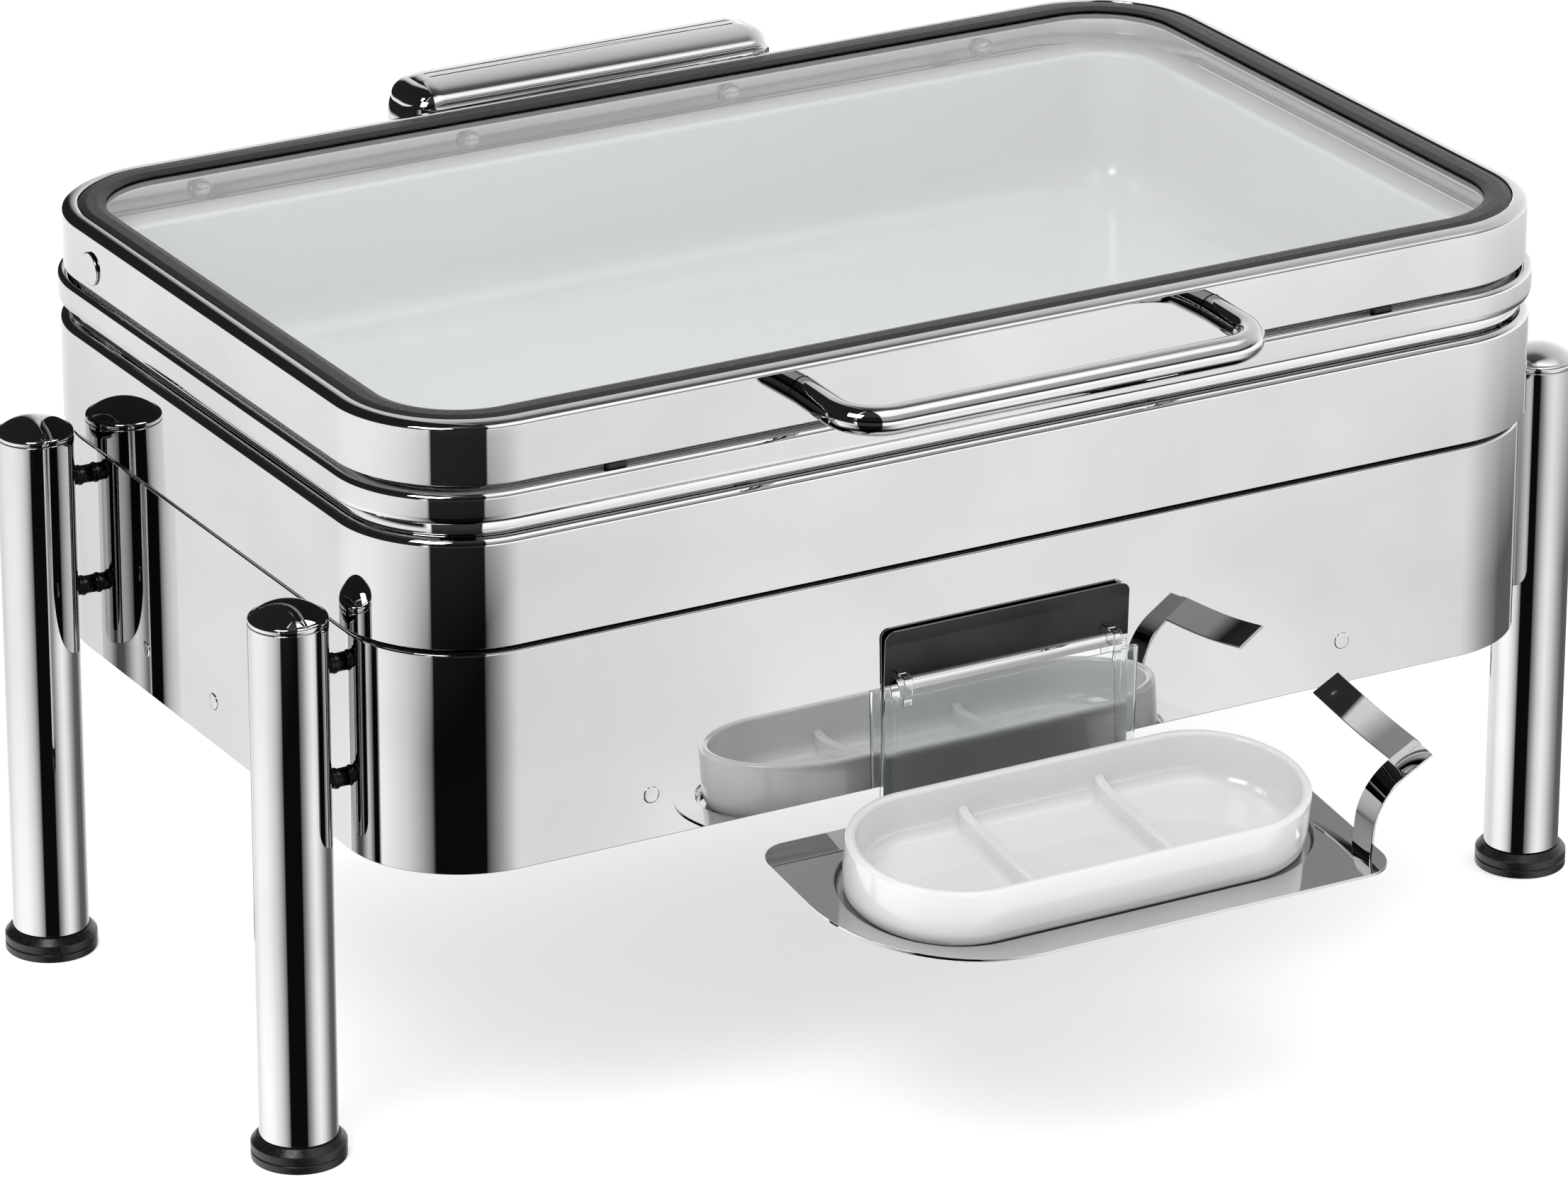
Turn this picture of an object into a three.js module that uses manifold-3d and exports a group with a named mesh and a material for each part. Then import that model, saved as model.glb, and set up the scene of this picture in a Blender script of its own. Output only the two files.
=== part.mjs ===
// Rectangular chafing dish with a hinged glass lid, a four-legged stand and a front spoon holder.
// Millimetres, +Z up, +X along the long side, the front faces -Y, and the feet stand on Z = 0.
// The origin is the bottom centre of the whole object's box. The housing's own centre is
// HOUSING_Y behind it, because the spoon holder makes the front deeper than the back.

import * as THREE from "three";
import { mergeVertices } from "three/addons/utils/BufferGeometryUtils.js";
import Module from "manifold-3d";

const wasm = await Module();
wasm.setup();

// ---------------------------------------------------------------- driving dimensions

const GAP = 0.3; // clearance between pieces that touch
const SHEET = 1.2; // steel sheet
const HOUSING_Y = 39.4; // housing centre behind the origin

// Half length, half width and corner radius of each rounded rectangle, seen from above.
const SKIRT = { x: 270.5, y: 169.6, r: 50 };
const SHELL = { x: 273, y: 172.1, r: 52.5 };
const RIM = { x: 273.7, y: 172.8, r: 53.2 };
const LID = { x: 272, y: 171, r: 54 };
const GASKET = { x: 265.4, y: 164.5, r: 47.4 };
const WATER_PAN = { x: 259.5, y: 158.6, r: 39 };
const FOOD_PAN = { x: 265, y: 162.5, r: 40 };

// Heights of the stack.
const FOOT_TOP = 10;
const CAP_JOINT = 229.6;
const SKIRT_Z = [129.5, 222.6];
const REST_RING_Z = [222.9, 225];
const SHELL_Z = [225.3, 277.4];
const RIM_Z = [277.7, 289.8];
const BUMPER_Z = [290.1, 292.1];
const LID_Z = [292.4, 318.1];
const LEDGE_Z = [309.7, 310.9];
const GASKET_Z = [311.2, 318.4];
const GLASS_Z = [312.7, 316.6];

// Legs.
const LEG = { x: 293.1, y: 115.7, radius: 16, wall: 1.5 };
const FOOT_RADIUS = 19.4;
const STANDOFF = { z: [159, 208], radius: 3.75, ring: 0.5, ringHalf: 0.8 };

// Burners inside the stand.
const BURNER_X = 120;
const BURNER_RADIUS = 42;
const RAIL_Z = [131.3, 132.8];
const POT_Z = [133.1, 190];

// Lid furniture.
const HINGE = { y: 188, z: 300, pin: 3, eye: 7 };
const COVER = {
  x: 89.5,
  front: 168.5,
  back: 204.5,
  corner: 15,
  bottom: 289,
  top: 327.5,
  wall: 1.5,
  lip: 317.9,
};
const NUT_X = [-190, -63.3, 63.3, 190];
const NUT_Z = 299;
const HANDLE = { x: 94.5, reach: 41, z: 306.5, drop: 1.5, radius: 6, bend: 16, collar: 3 };

// Spoon holder. The tray slopes down to the front, and its own parts are made level.
const TRAY_TILT = THREE.MathUtils.degToRad(8);
const TRAY = { x: 117, depth: 113, y: -171.4, z: 116, small: 13, wide: 68 };
const DISH = { straight: 60.4, radius: 41.6, height: 25, wall: 4.4, v: 55.4 };
const DISH_RIB = { x: 32, half: 2.5, height: 6 };
const WELL = { radius: 44, depth: 3.4 };
const BRACKET = { x: 57, back: -169.9, bottom: 114.6, top: 196.5, corner: 4 };
const HOOK = { x: 52, z: 171.4 }; // the bracket's lip, and its lowest edge
const POCKET = { x: 59.5, height: 48.5, z: 121, depth: 2.2, sheet: 0.8, fold: 7 };
const TAB = { x: 49, half: 2 };
const POCKET_LEAN = THREE.MathUtils.degToRad(2.5);
const LADLE = {
  width: 13.5,
  y: -79.5,
  bend: 28,
  upright: 5.1,
  slope: 31.7,
  plateau: 13.7,
  arm: 57.5,
  sag: 2,
};

// ---------------------------------------------------------------- materials

const steel = new THREE.MeshStandardMaterial({ color: 0xd8d9da, roughness: 0.06, metalness: 1 });
const satinSteel = new THREE.MeshStandardMaterial({ color: 0xb9bbbd, roughness: 0.35, metalness: 1 });
const blackPlastic = new THREE.MeshStandardMaterial({ color: 0x1a1b1c, roughness: 0.55, metalness: 0 });
const rubber = new THREE.MeshStandardMaterial({ color: 0x202122, roughness: 0.7, metalness: 0 });
const porcelain = new THREE.MeshStandardMaterial({ color: 0xf2f4f5, roughness: 0.12, metalness: 0 });
const glass = new THREE.MeshStandardMaterial({
  color: 0xdfe8ea,
  roughness: 0.03,
  metalness: 0,
  transparent: true,
  opacity: 0.3,
});
const acrylic = new THREE.MeshStandardMaterial({
  color: 0xeef2f3,
  roughness: 0.05,
  metalness: 0,
  transparent: true,
  opacity: 0.35,
});

// ---------------------------------------------------------------- solids

const CORNER_STEPS = 4; // each quarter turn is drawn with twice this many edges

// A closed three.js geometry as a manifold solid.
function solid(geometry) {
  const bare = geometry.index ? geometry.toNonIndexed() : geometry.clone();
  bare.deleteAttribute("normal");
  bare.deleteAttribute("uv");
  const merged = mergeVertices(bare, 1e-4);
  return new wasm.Manifold(
    new wasm.Mesh({
      numProp: 3,
      vertProperties: new Float32Array(merged.attributes.position.array),
      triVerts: new Uint32Array(merged.index.array),
    })
  );
}

// A manifold solid back as a three.js geometry.
function geometryOf(body) {
  const mesh = body.getMesh();
  const geometry = new THREE.BufferGeometry();
  geometry.setAttribute("position", new THREE.BufferAttribute(mesh.vertProperties, 3));
  geometry.setIndex(new THREE.BufferAttribute(mesh.triVerts, 1));
  geometry.computeVertexNormals();
  return geometry;
}

// An outline that is inset all round; a negative inset grows it.
function inset(outline, amount) {
  return { x: outline.x - amount, y: outline.y - amount, r: Math.max(outline.r - amount, 1) };
}

function roundedRect({ x, y, r }) {
  const shape = new THREE.Shape();
  const quarter = Math.PI / 2;
  shape.absarc(x - r, -y + r, r, -quarter, 0);
  shape.absarc(x - r, y - r, r, 0, quarter);
  shape.absarc(-x + r, y - r, r, quarter, 2 * quarter);
  shape.absarc(-x + r, -y + r, r, 2 * quarter, 3 * quarter);
  return shape;
}

function extrude(shape, z0, z1, steps = CORNER_STEPS) {
  const geometry = new THREE.ExtrudeGeometry(shape, {
    depth: z1 - z0,
    bevelEnabled: false,
    curveSegments: steps,
  });
  return geometry.translate(0, 0, z0);
}

// A prism on a rounded rectangle.
function block(outline, z0, z1) {
  return solid(extrude(roundedRect(outline), z0, z1));
}

function box(x0, x1, y0, y1, z0, z1) {
  const geometry = new THREE.BoxGeometry(x1 - x0, y1 - y0, z1 - z0);
  return solid(geometry.translate((x0 + x1) / 2, (y0 + y1) / 2, (z0 + z1) / 2));
}

// A prism whose top edge, or bottom edge, is rounded by a quarter ellipse.
function roundedBlock(outline, z0, z1, { width, height, bottom = false, steps = 2 }) {
  const geometry = new THREE.ExtrudeGeometry(roundedRect(outline), {
    depth: z1 - z0,
    bevelThickness: height,
    bevelSize: width,
    bevelOffset: -width,
    bevelSegments: steps,
    curveSegments: CORNER_STEPS,
  });
  geometry.translate(0, 0, bottom ? z0 + height : z0 - height);
  const reach = 2 * outline.x;
  return solid(geometry).intersect(box(-reach, reach, -reach, reach, z0, z1));
}

// A tube between an outline and the same outline inset by the wall.
function ring(outline, wall, z0, z1) {
  const shape = roundedRect(outline);
  shape.holes.push(roundedRect(inset(outline, wall)));
  return solid(extrude(shape, z0, z1));
}

// A turned piece from [radius, height] points, about Z.
function turned(points, steps = 24) {
  const profile = points.map(([radius, height]) => new THREE.Vector2(radius, height));
  const geometry = new THREE.LatheGeometry(profile, steps);
  return solid(geometry.rotateX(Math.PI / 2));
}

function rod(radius, z0, z1, steps = 24) {
  return turned([[0, z0], [radius, z0], [radius, z1], [0, z1]], steps);
}

// A turned piece's axis laid along X or Y.
const alongX = new THREE.Matrix4().makeRotationY(Math.PI / 2);
const alongY = new THREE.Matrix4().makeRotationX(-Math.PI / 2);

function moved(body, matrix) {
  return solid(geometryOf(body).applyMatrix4(matrix));
}

function shifted(body, x, y, z) {
  return moved(body, new THREE.Matrix4().makeTranslation(x, y, z));
}

function polygon(points) {
  return new THREE.Shape(points.map(([x, y]) => new THREE.Vector2(x, y)));
}

// A prism on a Y-Z outline between two X values.
function sideProfile(shape, x0, x1, steps = CORNER_STEPS) {
  const basis = new THREE.Matrix4().makeBasis(
    new THREE.Vector3(0, 1, 0),
    new THREE.Vector3(0, 0, 1),
    new THREE.Vector3(1, 0, 0)
  );
  return solid(extrude(shape, x0, x1, steps).applyMatrix4(basis));
}

// ---------------------------------------------------------------- scene graph

const model = new THREE.Group();
model.position.y = HOUSING_Y;

function piece(name, body, material, parent = model) {
  const mesh = new THREE.Mesh(geometryOf(body), material);
  mesh.name = name;
  parent.add(mesh);
  return mesh;
}

const SIDES = [["left", -1], ["right", 1]];
const ENDS = [["front", -1], ["back", 1]];

// ---------------------------------------------------------------- stand

// Round embossed marks near the bottom edge of the skirt.
const STUD = { radius: 3.5, height: 0.4, z: 148.5, front: 162, side: 62.6 };

function buildSkirt() {
  const wall = ring(SKIRT, SHEET, SKIRT_Z[0], SKIRT_Z[1]);
  const shelf = ring(inset(SKIRT, SHEET / 2), 7.3, SKIRT_Z[1] - SHEET, SKIRT_Z[1]);
  let skirt = wall.add(shelf);
  const stud = rod(STUD.radius, -SHEET / 2, STUD.height, 10);
  const outward = (angle, x, y) =>
    new THREE.Matrix4()
      .makeTranslation(x, y, STUD.z)
      .multiply(new THREE.Matrix4().makeRotationZ(angle))
      .multiply(alongX);
  for (const [, side] of SIDES) {
    for (const [, end] of ENDS) {
      skirt = skirt.add(moved(stud, outward((end * Math.PI) / 2, side * STUD.front, end * SKIRT.y)));
    }
    for (const step of [-1, 0, 1]) {
      const angle = side > 0 ? 0 : Math.PI;
      skirt = skirt.add(moved(stud, outward(angle, side * SKIRT.x, step * STUD.side)));
    }
  }
  return skirt;
}

piece("stand_skirt", buildSkirt(), steel);
piece("rest_ring", ring(inset(SKIRT, 3), 4.9, REST_RING_Z[0], REST_RING_Z[1]), rubber);

const legTube = turned([
  [LEG.radius - LEG.wall, FOOT_TOP + GAP],
  [LEG.radius, FOOT_TOP + GAP],
  [LEG.radius, CAP_JOINT - GAP],
  [LEG.radius - LEG.wall, CAP_JOINT - GAP],
  [LEG.radius - LEG.wall, FOOT_TOP + GAP],
], 24);

const LEG_BORE = LEG.radius - LEG.wall - GAP; // radius of what plugs into the tube
const CAP_PLUG = 6;

const legCap = turned([
  [0, CAP_JOINT - CAP_PLUG],
  [LEG_BORE, CAP_JOINT - CAP_PLUG],
  [LEG_BORE, CAP_JOINT],
  [LEG.radius, CAP_JOINT],
  [LEG.radius, CAP_JOINT + 1.4],
  [LEG.radius - 1, CAP_JOINT + 2.4],
  [12, CAP_JOINT + 4.9],
  [6.5, CAP_JOINT + 7.1],
  [0, CAP_JOINT + 8.1],
], 18);

const FOOT_PLUG = 12;

const legFoot = turned([
  [0, 0],
  [FOOT_RADIUS, 0],
  [FOOT_RADIUS, 3.3],
  [FOOT_RADIUS - 0.3, 3.6],
  [FOOT_RADIUS, 3.9],
  [FOOT_RADIUS, 6.8],
  [FOOT_RADIUS - 0.9, 7.7],
  [LEG.radius + 0.9, FOOT_TOP],
  [LEG_BORE, FOOT_TOP],
  [LEG_BORE, FOOT_TOP + FOOT_PLUG],
  [0, FOOT_TOP + FOOT_PLUG],
], 18);

// A spacer from the skirt outwards along +X, with a ring in the middle. Its outer end follows
// the leg's round surface. It is made on the X axis, at its own height.
function buildStandoff(z) {
  const start = SKIRT.x + GAP;
  const end = LEG.x - LEG.radius + 3;
  const middle = (LEG.x - LEG.radius + SKIRT.x) / 2;
  const radius = STANDOFF.radius;
  const ringRadius = radius + STANDOFF.ring;
  const spacer = turned([
    [0, start],
    [radius, start],
    [radius, middle - STANDOFF.ringHalf],
    [ringRadius, middle - STANDOFF.ringHalf],
    [ringRadius, middle + STANDOFF.ringHalf],
    [radius, middle + STANDOFF.ringHalf],
    [radius, end],
    [0, end],
  ], 10);
  const placed = shifted(moved(spacer, alongX), 0, 0, z);
  const leg = shifted(rod(LEG.radius + GAP, z - 20, z + 20, 24), LEG.x, 0, 0);
  return placed.subtract(leg);
}

for (const [end, toward] of ENDS) {
  for (const [side, across] of SIDES) {
    const place = `${end}_${side}`;
    const leg = new THREE.Group();
    leg.position.set(across * LEG.x, toward * LEG.y, 0);
    model.add(leg);
    piece(`leg_tube_${place}`, legTube, steel, leg);
    piece(`leg_cap_${place}`, legCap, steel, leg);
    piece(`leg_foot_${place}`, legFoot, blackPlastic, leg);
    const spacers = new THREE.Group();
    spacers.position.y = toward * LEG.y;
    spacers.rotation.z = across > 0 ? 0 : Math.PI;
    model.add(spacers);
    piece(`leg_standoff_${place}_lower`, buildStandoff(STANDOFF.z[0]), blackPlastic, spacers);
    piece(`leg_standoff_${place}_upper`, buildStandoff(STANDOFF.z[1]), blackPlastic, spacers);
  }
}

// ---------------------------------------------------------------- burners

const RAIL = { width: 96, flange: 14, sheet: 1.5, socket: 6 };
const POT = { mouth: 30, wall: 1.2 };
const SNUFFER = { radius: 36, pivotY: 38, pin: 3, lug: 7, z: [190.6, 191.8] };
const SNUFFER_TAB = { half: 1.2, y: [-30, -18], height: 8 };

function buildRail() {
  const { width, flange, sheet } = RAIL;
  const reach = SKIRT.y - SHEET - GAP;
  const half = width / 2;
  const strip = box(-half, half, -reach, reach, RAIL_Z[0], RAIL_Z[1]);
  const front = box(-half, half, -reach, -reach + sheet, RAIL_Z[0], RAIL_Z[0] + flange);
  const back = box(-half, half, reach - sheet, reach, RAIL_Z[0], RAIL_Z[0] + flange);
  const inner = BURNER_RADIUS + 1;
  const top = RAIL_Z[1] + RAIL.socket;
  const socket = rod(inner + sheet, RAIL_Z[0], top).subtract(rod(inner, RAIL_Z[1], top + 1));
  return strip.add(front).add(back).add(socket);
}

function buildPot() {
  const { mouth, wall } = POT;
  const can = turned([
    [0, POT_Z[0]],
    [BURNER_RADIUS, POT_Z[0]],
    [BURNER_RADIUS, POT_Z[1]],
    [mouth, POT_Z[1]],
    [mouth, POT_Z[1] - wall],
    [BURNER_RADIUS - wall, POT_Z[1] - wall],
    [BURNER_RADIUS - wall, POT_Z[0] + wall],
    [0, POT_Z[0] + wall],
  ]);
  const pin = rod(SNUFFER.pin, POT_Z[1] - wall / 2, SNUFFER.z[1] + 2, 16);
  return can.add(shifted(pin, 0, SNUFFER.pivotY, 0));
}

// A lid for the flame: a disc with a finger tab, turning on the pot's pin.
function buildSnuffer() {
  const [bottom, top] = SNUFFER.z;
  const disc = rod(SNUFFER.radius, bottom, top);
  const lug = shifted(rod(SNUFFER.lug, bottom, top, 16), 0, SNUFFER.pivotY, 0);
  const bore = shifted(rod(SNUFFER.pin + 0.15, 0, 2 * top, 16), 0, SNUFFER.pivotY, 0);
  const { half, y, height } = SNUFFER_TAB;
  const tab = box(-half, half, y[0], y[1], bottom + SHEET / 2, top + height);
  return disc.add(lug).add(tab).subtract(bore);
}

for (const [side, across] of SIDES) {
  const bay = new THREE.Group();
  bay.position.x = across * BURNER_X;
  model.add(bay);
  piece(`burner_rail_${side}`, buildRail(), satinSteel, bay);
  piece(`burner_pot_${side}`, buildPot(), satinSteel, bay);
  piece(`burner_snuffer_${side}`, buildSnuffer(), satinSteel, bay);
}

// ---------------------------------------------------------------- basin

// The shell's shoulder turns in under the rim and leaves a groove.
const SHOULDER = { z: 271.5, groove: 5, edge: { width: 5, height: 3.5 } };

function buildShell() {
  const { z, groove, edge } = SHOULDER;
  const outer = roundedBlock(SHELL, SHELL_Z[0], z, edge);
  const hollow = block(inset(SHELL, SHEET), SHELL_Z[0] + SHEET, z - edge.height - SHEET / 2);
  const mouth = block(inset(SHELL, groove + SHEET), SHELL_Z[0] - 1, SHELL_Z[1] + 1);
  const neck = ring(inset(SHELL, groove), SHEET, z - edge.height - SHEET, SHELL_Z[1]);
  return outer.subtract(hollow).subtract(mouth).add(neck);
}

const RIM_SHEET = 1.5;
const RIM_WIDTH = 12;

function buildRim() {
  const outer = roundedBlock(RIM, RIM_Z[0], RIM_Z[1], { width: 1.6, height: 1.6 });
  const hollow = block(inset(RIM, RIM_SHEET), RIM_Z[0] - 1, RIM_Z[1] - RIM_SHEET);
  const mouth = block(inset(RIM, RIM_WIDTH), RIM_Z[0] - 1, RIM_Z[1] + 1);
  return outer.subtract(hollow).subtract(mouth);
}

const WATER_PAN_BOTTOM = 216;
const PAN_FLANGE_Z = [290.1, 291.3];
const PAN_FLANGE_WIDTH = 4.5;

function buildWaterPan() {
  const tub = roundedBlock(WATER_PAN, WATER_PAN_BOTTOM, PAN_FLANGE_Z[1], {
    width: 8,
    height: 8,
    bottom: true,
  });
  const flange = block(inset(WATER_PAN, -PAN_FLANGE_WIDTH), PAN_FLANGE_Z[0], PAN_FLANGE_Z[1]);
  const hollow = roundedBlock(inset(WATER_PAN, SHEET), WATER_PAN_BOTTOM + SHEET, PAN_FLANGE_Z[1] + 1, {
    width: 7,
    height: 7,
    bottom: true,
  });
  return tub.add(flange).subtract(hollow);
}

const FOOD_PAN_Z = [231.6, 296.6];
const FOOD_PAN_RIM = 5;

function buildFoodPan() {
  const wall = 4.5;
  const lip = 13;
  const flange = roundedBlock(FOOD_PAN, FOOD_PAN_Z[1] - FOOD_PAN_RIM, FOOD_PAN_Z[1], {
    width: 1.5,
    height: 1.5,
    steps: 1,
  });
  const tub = roundedBlock(inset(FOOD_PAN, lip - 1), FOOD_PAN_Z[0], FOOD_PAN_Z[1] - 1, {
    width: 14,
    height: 20,
    bottom: true,
  });
  const hollow = roundedBlock(inset(FOOD_PAN, lip + wall - 1), FOOD_PAN_Z[0] + wall, FOOD_PAN_Z[1] + 1, {
    width: 13,
    height: 18,
    bottom: true,
  });
  return flange.add(tub).subtract(hollow);
}

piece("housing_shell", buildShell(), steel);
piece("basin_rim", buildRim(), steel);
piece("water_pan", buildWaterPan(), steel);
piece("food_pan", buildFoodPan(), porcelain);

const BUMPER = { x: 177, y: 169, length: 9, width: 4 };

for (const [end, toward] of ENDS) {
  for (const [side, across] of SIDES) {
    const x = across * BUMPER.x;
    const y = toward * BUMPER.y;
    const bumper = box(
      x - BUMPER.length / 2,
      x + BUMPER.length / 2,
      y - BUMPER.width / 2,
      y + BUMPER.width / 2,
      BUMPER_Z[0],
      BUMPER_Z[1]
    );
    piece(`rim_bumper_${end}_${side}`, bumper, rubber);
  }
}

// ---------------------------------------------------------------- hinge, basin side

const ARM_X = [44, 50];
const LUG_X = [60, 66];
const ARM_PLATE = { x: 52, sheet: 2, bottom: 250 };
const LEAF = { x: 200, sheet: 2, z: [294.5, 313.5] };
const DAMPER = { radius: 8.5, half: 40 };
const PIN_HALF = 68;

function eyeShape(radius) {
  const shape = new THREE.Shape();
  shape.absarc(HINGE.y, HINGE.z, radius, 0, Math.PI * 2);
  return shape;
}

function buildHingeBracket() {
  const face = RIM.y + GAP;
  const { x, sheet, bottom } = ARM_PLATE;
  let bracket = box(-x, x, face, face + sheet, bottom, RIM_Z[1]);
  const web = polygon([
    [face, HINGE.z - 13.4],
    [HINGE.y, HINGE.z - 12],
    [HINGE.y + 5, HINGE.z - 4],
    [HINGE.y, HINGE.z],
    [face + 1, RIM_Z[1]],
    [face, RIM_Z[1]],
  ]);
  for (const [, across] of SIDES) {
    const [x0, x1] = across > 0 ? ARM_X : [-ARM_X[1], -ARM_X[0]];
    bracket = bracket.add(sideProfile(web, x0, x1)).add(sideProfile(eyeShape(HINGE.eye), x0, x1, 10));
  }
  return bracket.subtract(sideProfile(eyeShape(HINGE.pin + GAP), -PIN_HALF, PIN_HALF, 10));
}

function atHinge(body) {
  return moved(body, new THREE.Matrix4().makeTranslation(0, HINGE.y, HINGE.z).multiply(alongX));
}

piece("hinge_bracket", buildHingeBracket(), satinSteel);
function buildDamper() {
  const { radius, half } = DAMPER;
  return rod(radius, -half, half, 18).subtract(rod(HINGE.pin + GAP, -half - 1, half + 1, 18));
}

piece("hinge_pin", atHinge(rod(HINGE.pin, -PIN_HALF, PIN_HALF, 20)), satinSteel);
piece("hinge_damper", atHinge(buildDamper()), blackPlastic);

// ---------------------------------------------------------------- lid

const LID_WALL = 1.5;
const GASKET_LIP = 11.4;
const GLASS_INSET = 2.8; // depth of the glass's slot behind the gasket's outer edge

function buildLidFrame() {
  const outer = roundedBlock(LID, LID_Z[0], LID_Z[1], { width: 6.3, height: 2.2, steps: 3 });
  const below = block(inset(LID, LID_WALL), LID_Z[0] - 1, LEDGE_Z[0]);
  const opening = block(inset(GASKET, GASKET_LIP - 0.4), LEDGE_Z[0] - 1, LID_Z[1] + 1);
  const seat = block(inset(GASKET, -GAP), LEDGE_Z[1], LID_Z[1] + 1);
  return outer.subtract(below).subtract(opening).subtract(seat);
}

function buildGasket() {
  const outer = roundedBlock(GASKET, GASKET_Z[0], GASKET_Z[1], { width: 0.8, height: 0.8, steps: 1 });
  const opening = block(inset(GASKET, GASKET_LIP), GASKET_Z[0] - 1, GASKET_Z[1] + 1);
  const slot = block(inset(GASKET, GLASS_INSET), GLASS_Z[0] - GAP, GLASS_Z[1] + GAP);
  return outer.subtract(opening).subtract(slot);
}

// The handle's centre line: out from the lid, round a bend, across, and back.
function handlePath() {
  const { x, reach, z, drop, bend } = HANDLE;
  const root = -LID.y - GAP;
  const bar = -LID.y - reach;
  const low = z - drop;
  const path = new THREE.CurvePath();
  const point = (px, py, pz) => new THREE.Vector3(px, py, pz);
  const corners = [-1, 1].map((side) => ({
    root: point(side * x, root, z),
    start: point(side * x, bar + bend, z - drop / 2),
    corner: point(side * x, bar, low),
    end: point(side * (x - bend), bar, low),
  }));
  const [left, right] = corners;
  path.add(new THREE.LineCurve3(left.root, left.start));
  path.add(new THREE.QuadraticBezierCurve3(left.start, left.corner, left.end));
  path.add(new THREE.LineCurve3(left.end, right.end));
  path.add(new THREE.QuadraticBezierCurve3(right.end, right.corner, right.start));
  path.add(new THREE.LineCurve3(right.start, right.root));
  return path;
}

function buildHandle() {
  const section = new THREE.Shape();
  section.absarc(0, 0, HANDLE.radius, 0, Math.PI * 2);
  const geometry = new THREE.ExtrudeGeometry(section, {
    extrudePath: handlePath(),
    steps: 28,
    curveSegments: 5,
    bevelEnabled: false,
  });
  let handle = solid(geometry);
  const collar = rod(HANDLE.radius + 0.6, 0, HANDLE.collar, 14);
  for (const [, across] of SIDES) {
    const place = new THREE.Matrix4()
      .makeTranslation(across * HANDLE.x, -LID.y - GAP - HANDLE.collar, HANDLE.z)
      .multiply(alongY);
    handle = handle.add(moved(collar, place));
  }
  const reach = 2 * HANDLE.x;
  const insideLid = box(-reach, reach, -LID.y - GAP, 0, 0, 2 * HANDLE.z);
  return handle.subtract(insideLid);
}

// A domed cap nut, from its seat up along +Z.
function domedNut(radius, height) {
  return turned([
    [0, 0],
    [radius, 0],
    [radius, height * 0.4],
    [radius * 0.85, height * 0.75],
    [radius * 0.5, height * 0.95],
    [0, height],
  ], 12);
}

piece("lid_frame", buildLidFrame(), steel);
piece("lid_glass", block(inset(GASKET, GLASS_INSET + GAP), GLASS_Z[0], GLASS_Z[1]), glass);
piece("lid_gasket", buildGasket(), rubber);
piece("lid_handle", buildHandle(), steel);

const LID_STUD = { radius: 7, y: 101.7, z: 302.4, height: 0.8 };
const SCREW = { radius: 2.8, height: 2.4 };
const NUT = { radius: 4.6, height: 5 };

for (const [side, across] of SIDES) {
  const screw = new THREE.Matrix4()
    .makeTranslation(across * HANDLE.x, -LID.y + LID_WALL + GAP, HANDLE.z)
    .multiply(alongY);
  const head = domedNut(SCREW.radius, SCREW.height);
  piece(`handle_screw_${side}`, moved(head, screw), satinSteel);
  const stud = new THREE.Matrix4()
    .makeTranslation(across * (LID.x + GAP), LID_STUD.y, LID_STUD.z)
    .multiply(new THREE.Matrix4().makeRotationY((across * Math.PI) / 2));
  const disc = rod(LID_STUD.radius, 0, LID_STUD.height);
  piece(`lid_stud_${side}`, moved(disc, stud), steel);
}

NUT_X.forEach((x, index) => {
  const place = new THREE.Matrix4()
    .makeTranslation(x, LID.y - LID_WALL - GAP, NUT_Z)
    .multiply(new THREE.Matrix4().makeRotationX(Math.PI / 2));
  piece(`hinge_nut_${index + 1}`, moved(domedNut(NUT.radius, NUT.height), place), steel);
});

function buildHingeLeaf() {
  const face = LID.y + GAP;
  let leaf = box(-LEAF.x, LEAF.x, face, face + LEAF.sheet, LEAF.z[0], LEAF.z[1]);
  const web = polygon([
    [face + 1, HINGE.z - 4],
    [HINGE.y, HINGE.z - 5],
    [HINGE.y, HINGE.z + 5],
    [face + 1, HINGE.z + 10],
  ]);
  for (const [, across] of SIDES) {
    const [x0, x1] = across > 0 ? LUG_X : [-LUG_X[1], -LUG_X[0]];
    leaf = leaf.add(sideProfile(web, x0, x1)).add(sideProfile(eyeShape(HINGE.eye), x0, x1, 10));
  }
  return leaf.subtract(sideProfile(eyeShape(HINGE.pin + 0.15), -PIN_HALF, PIN_HALF, 10));
}

// A long cap over the hinge, open below, with a lip that reaches over the lid's back edge.
function buildHingeCover() {
  const middle = (COVER.front + COVER.back) / 2;
  const half = (COVER.back - COVER.front) / 2;
  const outline = { x: COVER.x, y: half, r: COVER.corner };
  const outer = roundedBlock(outline, COVER.bottom, COVER.top, { width: 8, height: 7, steps: 3 });
  const hollow = roundedBlock(
    inset(outline, COVER.wall),
    COVER.bottom - 1,
    COVER.top - COVER.wall,
    { width: 7, height: 6, steps: 2 }
  );
  const cap = shifted(outer.subtract(hollow), 0, middle, 0);
  const lidSide = box(-100, 100, COVER.front - 1, LID.y + 2.7, COVER.bottom - 1, COVER.lip);
  return cap.subtract(lidSide);
}

piece("hinge_leaf", buildHingeLeaf(), satinSteel);
piece("hinge_cover", buildHingeCover(), steel);

// ---------------------------------------------------------------- spoon holder

const bend = new THREE.Group();
bend.position.set(0, TRAY.y, TRAY.z);
bend.rotation.x = TRAY_TILT;
model.add(bend);

function stadium(radius) {
  return { x: DISH.straight + radius, y: radius, r: radius - 0.5 };
}

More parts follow.
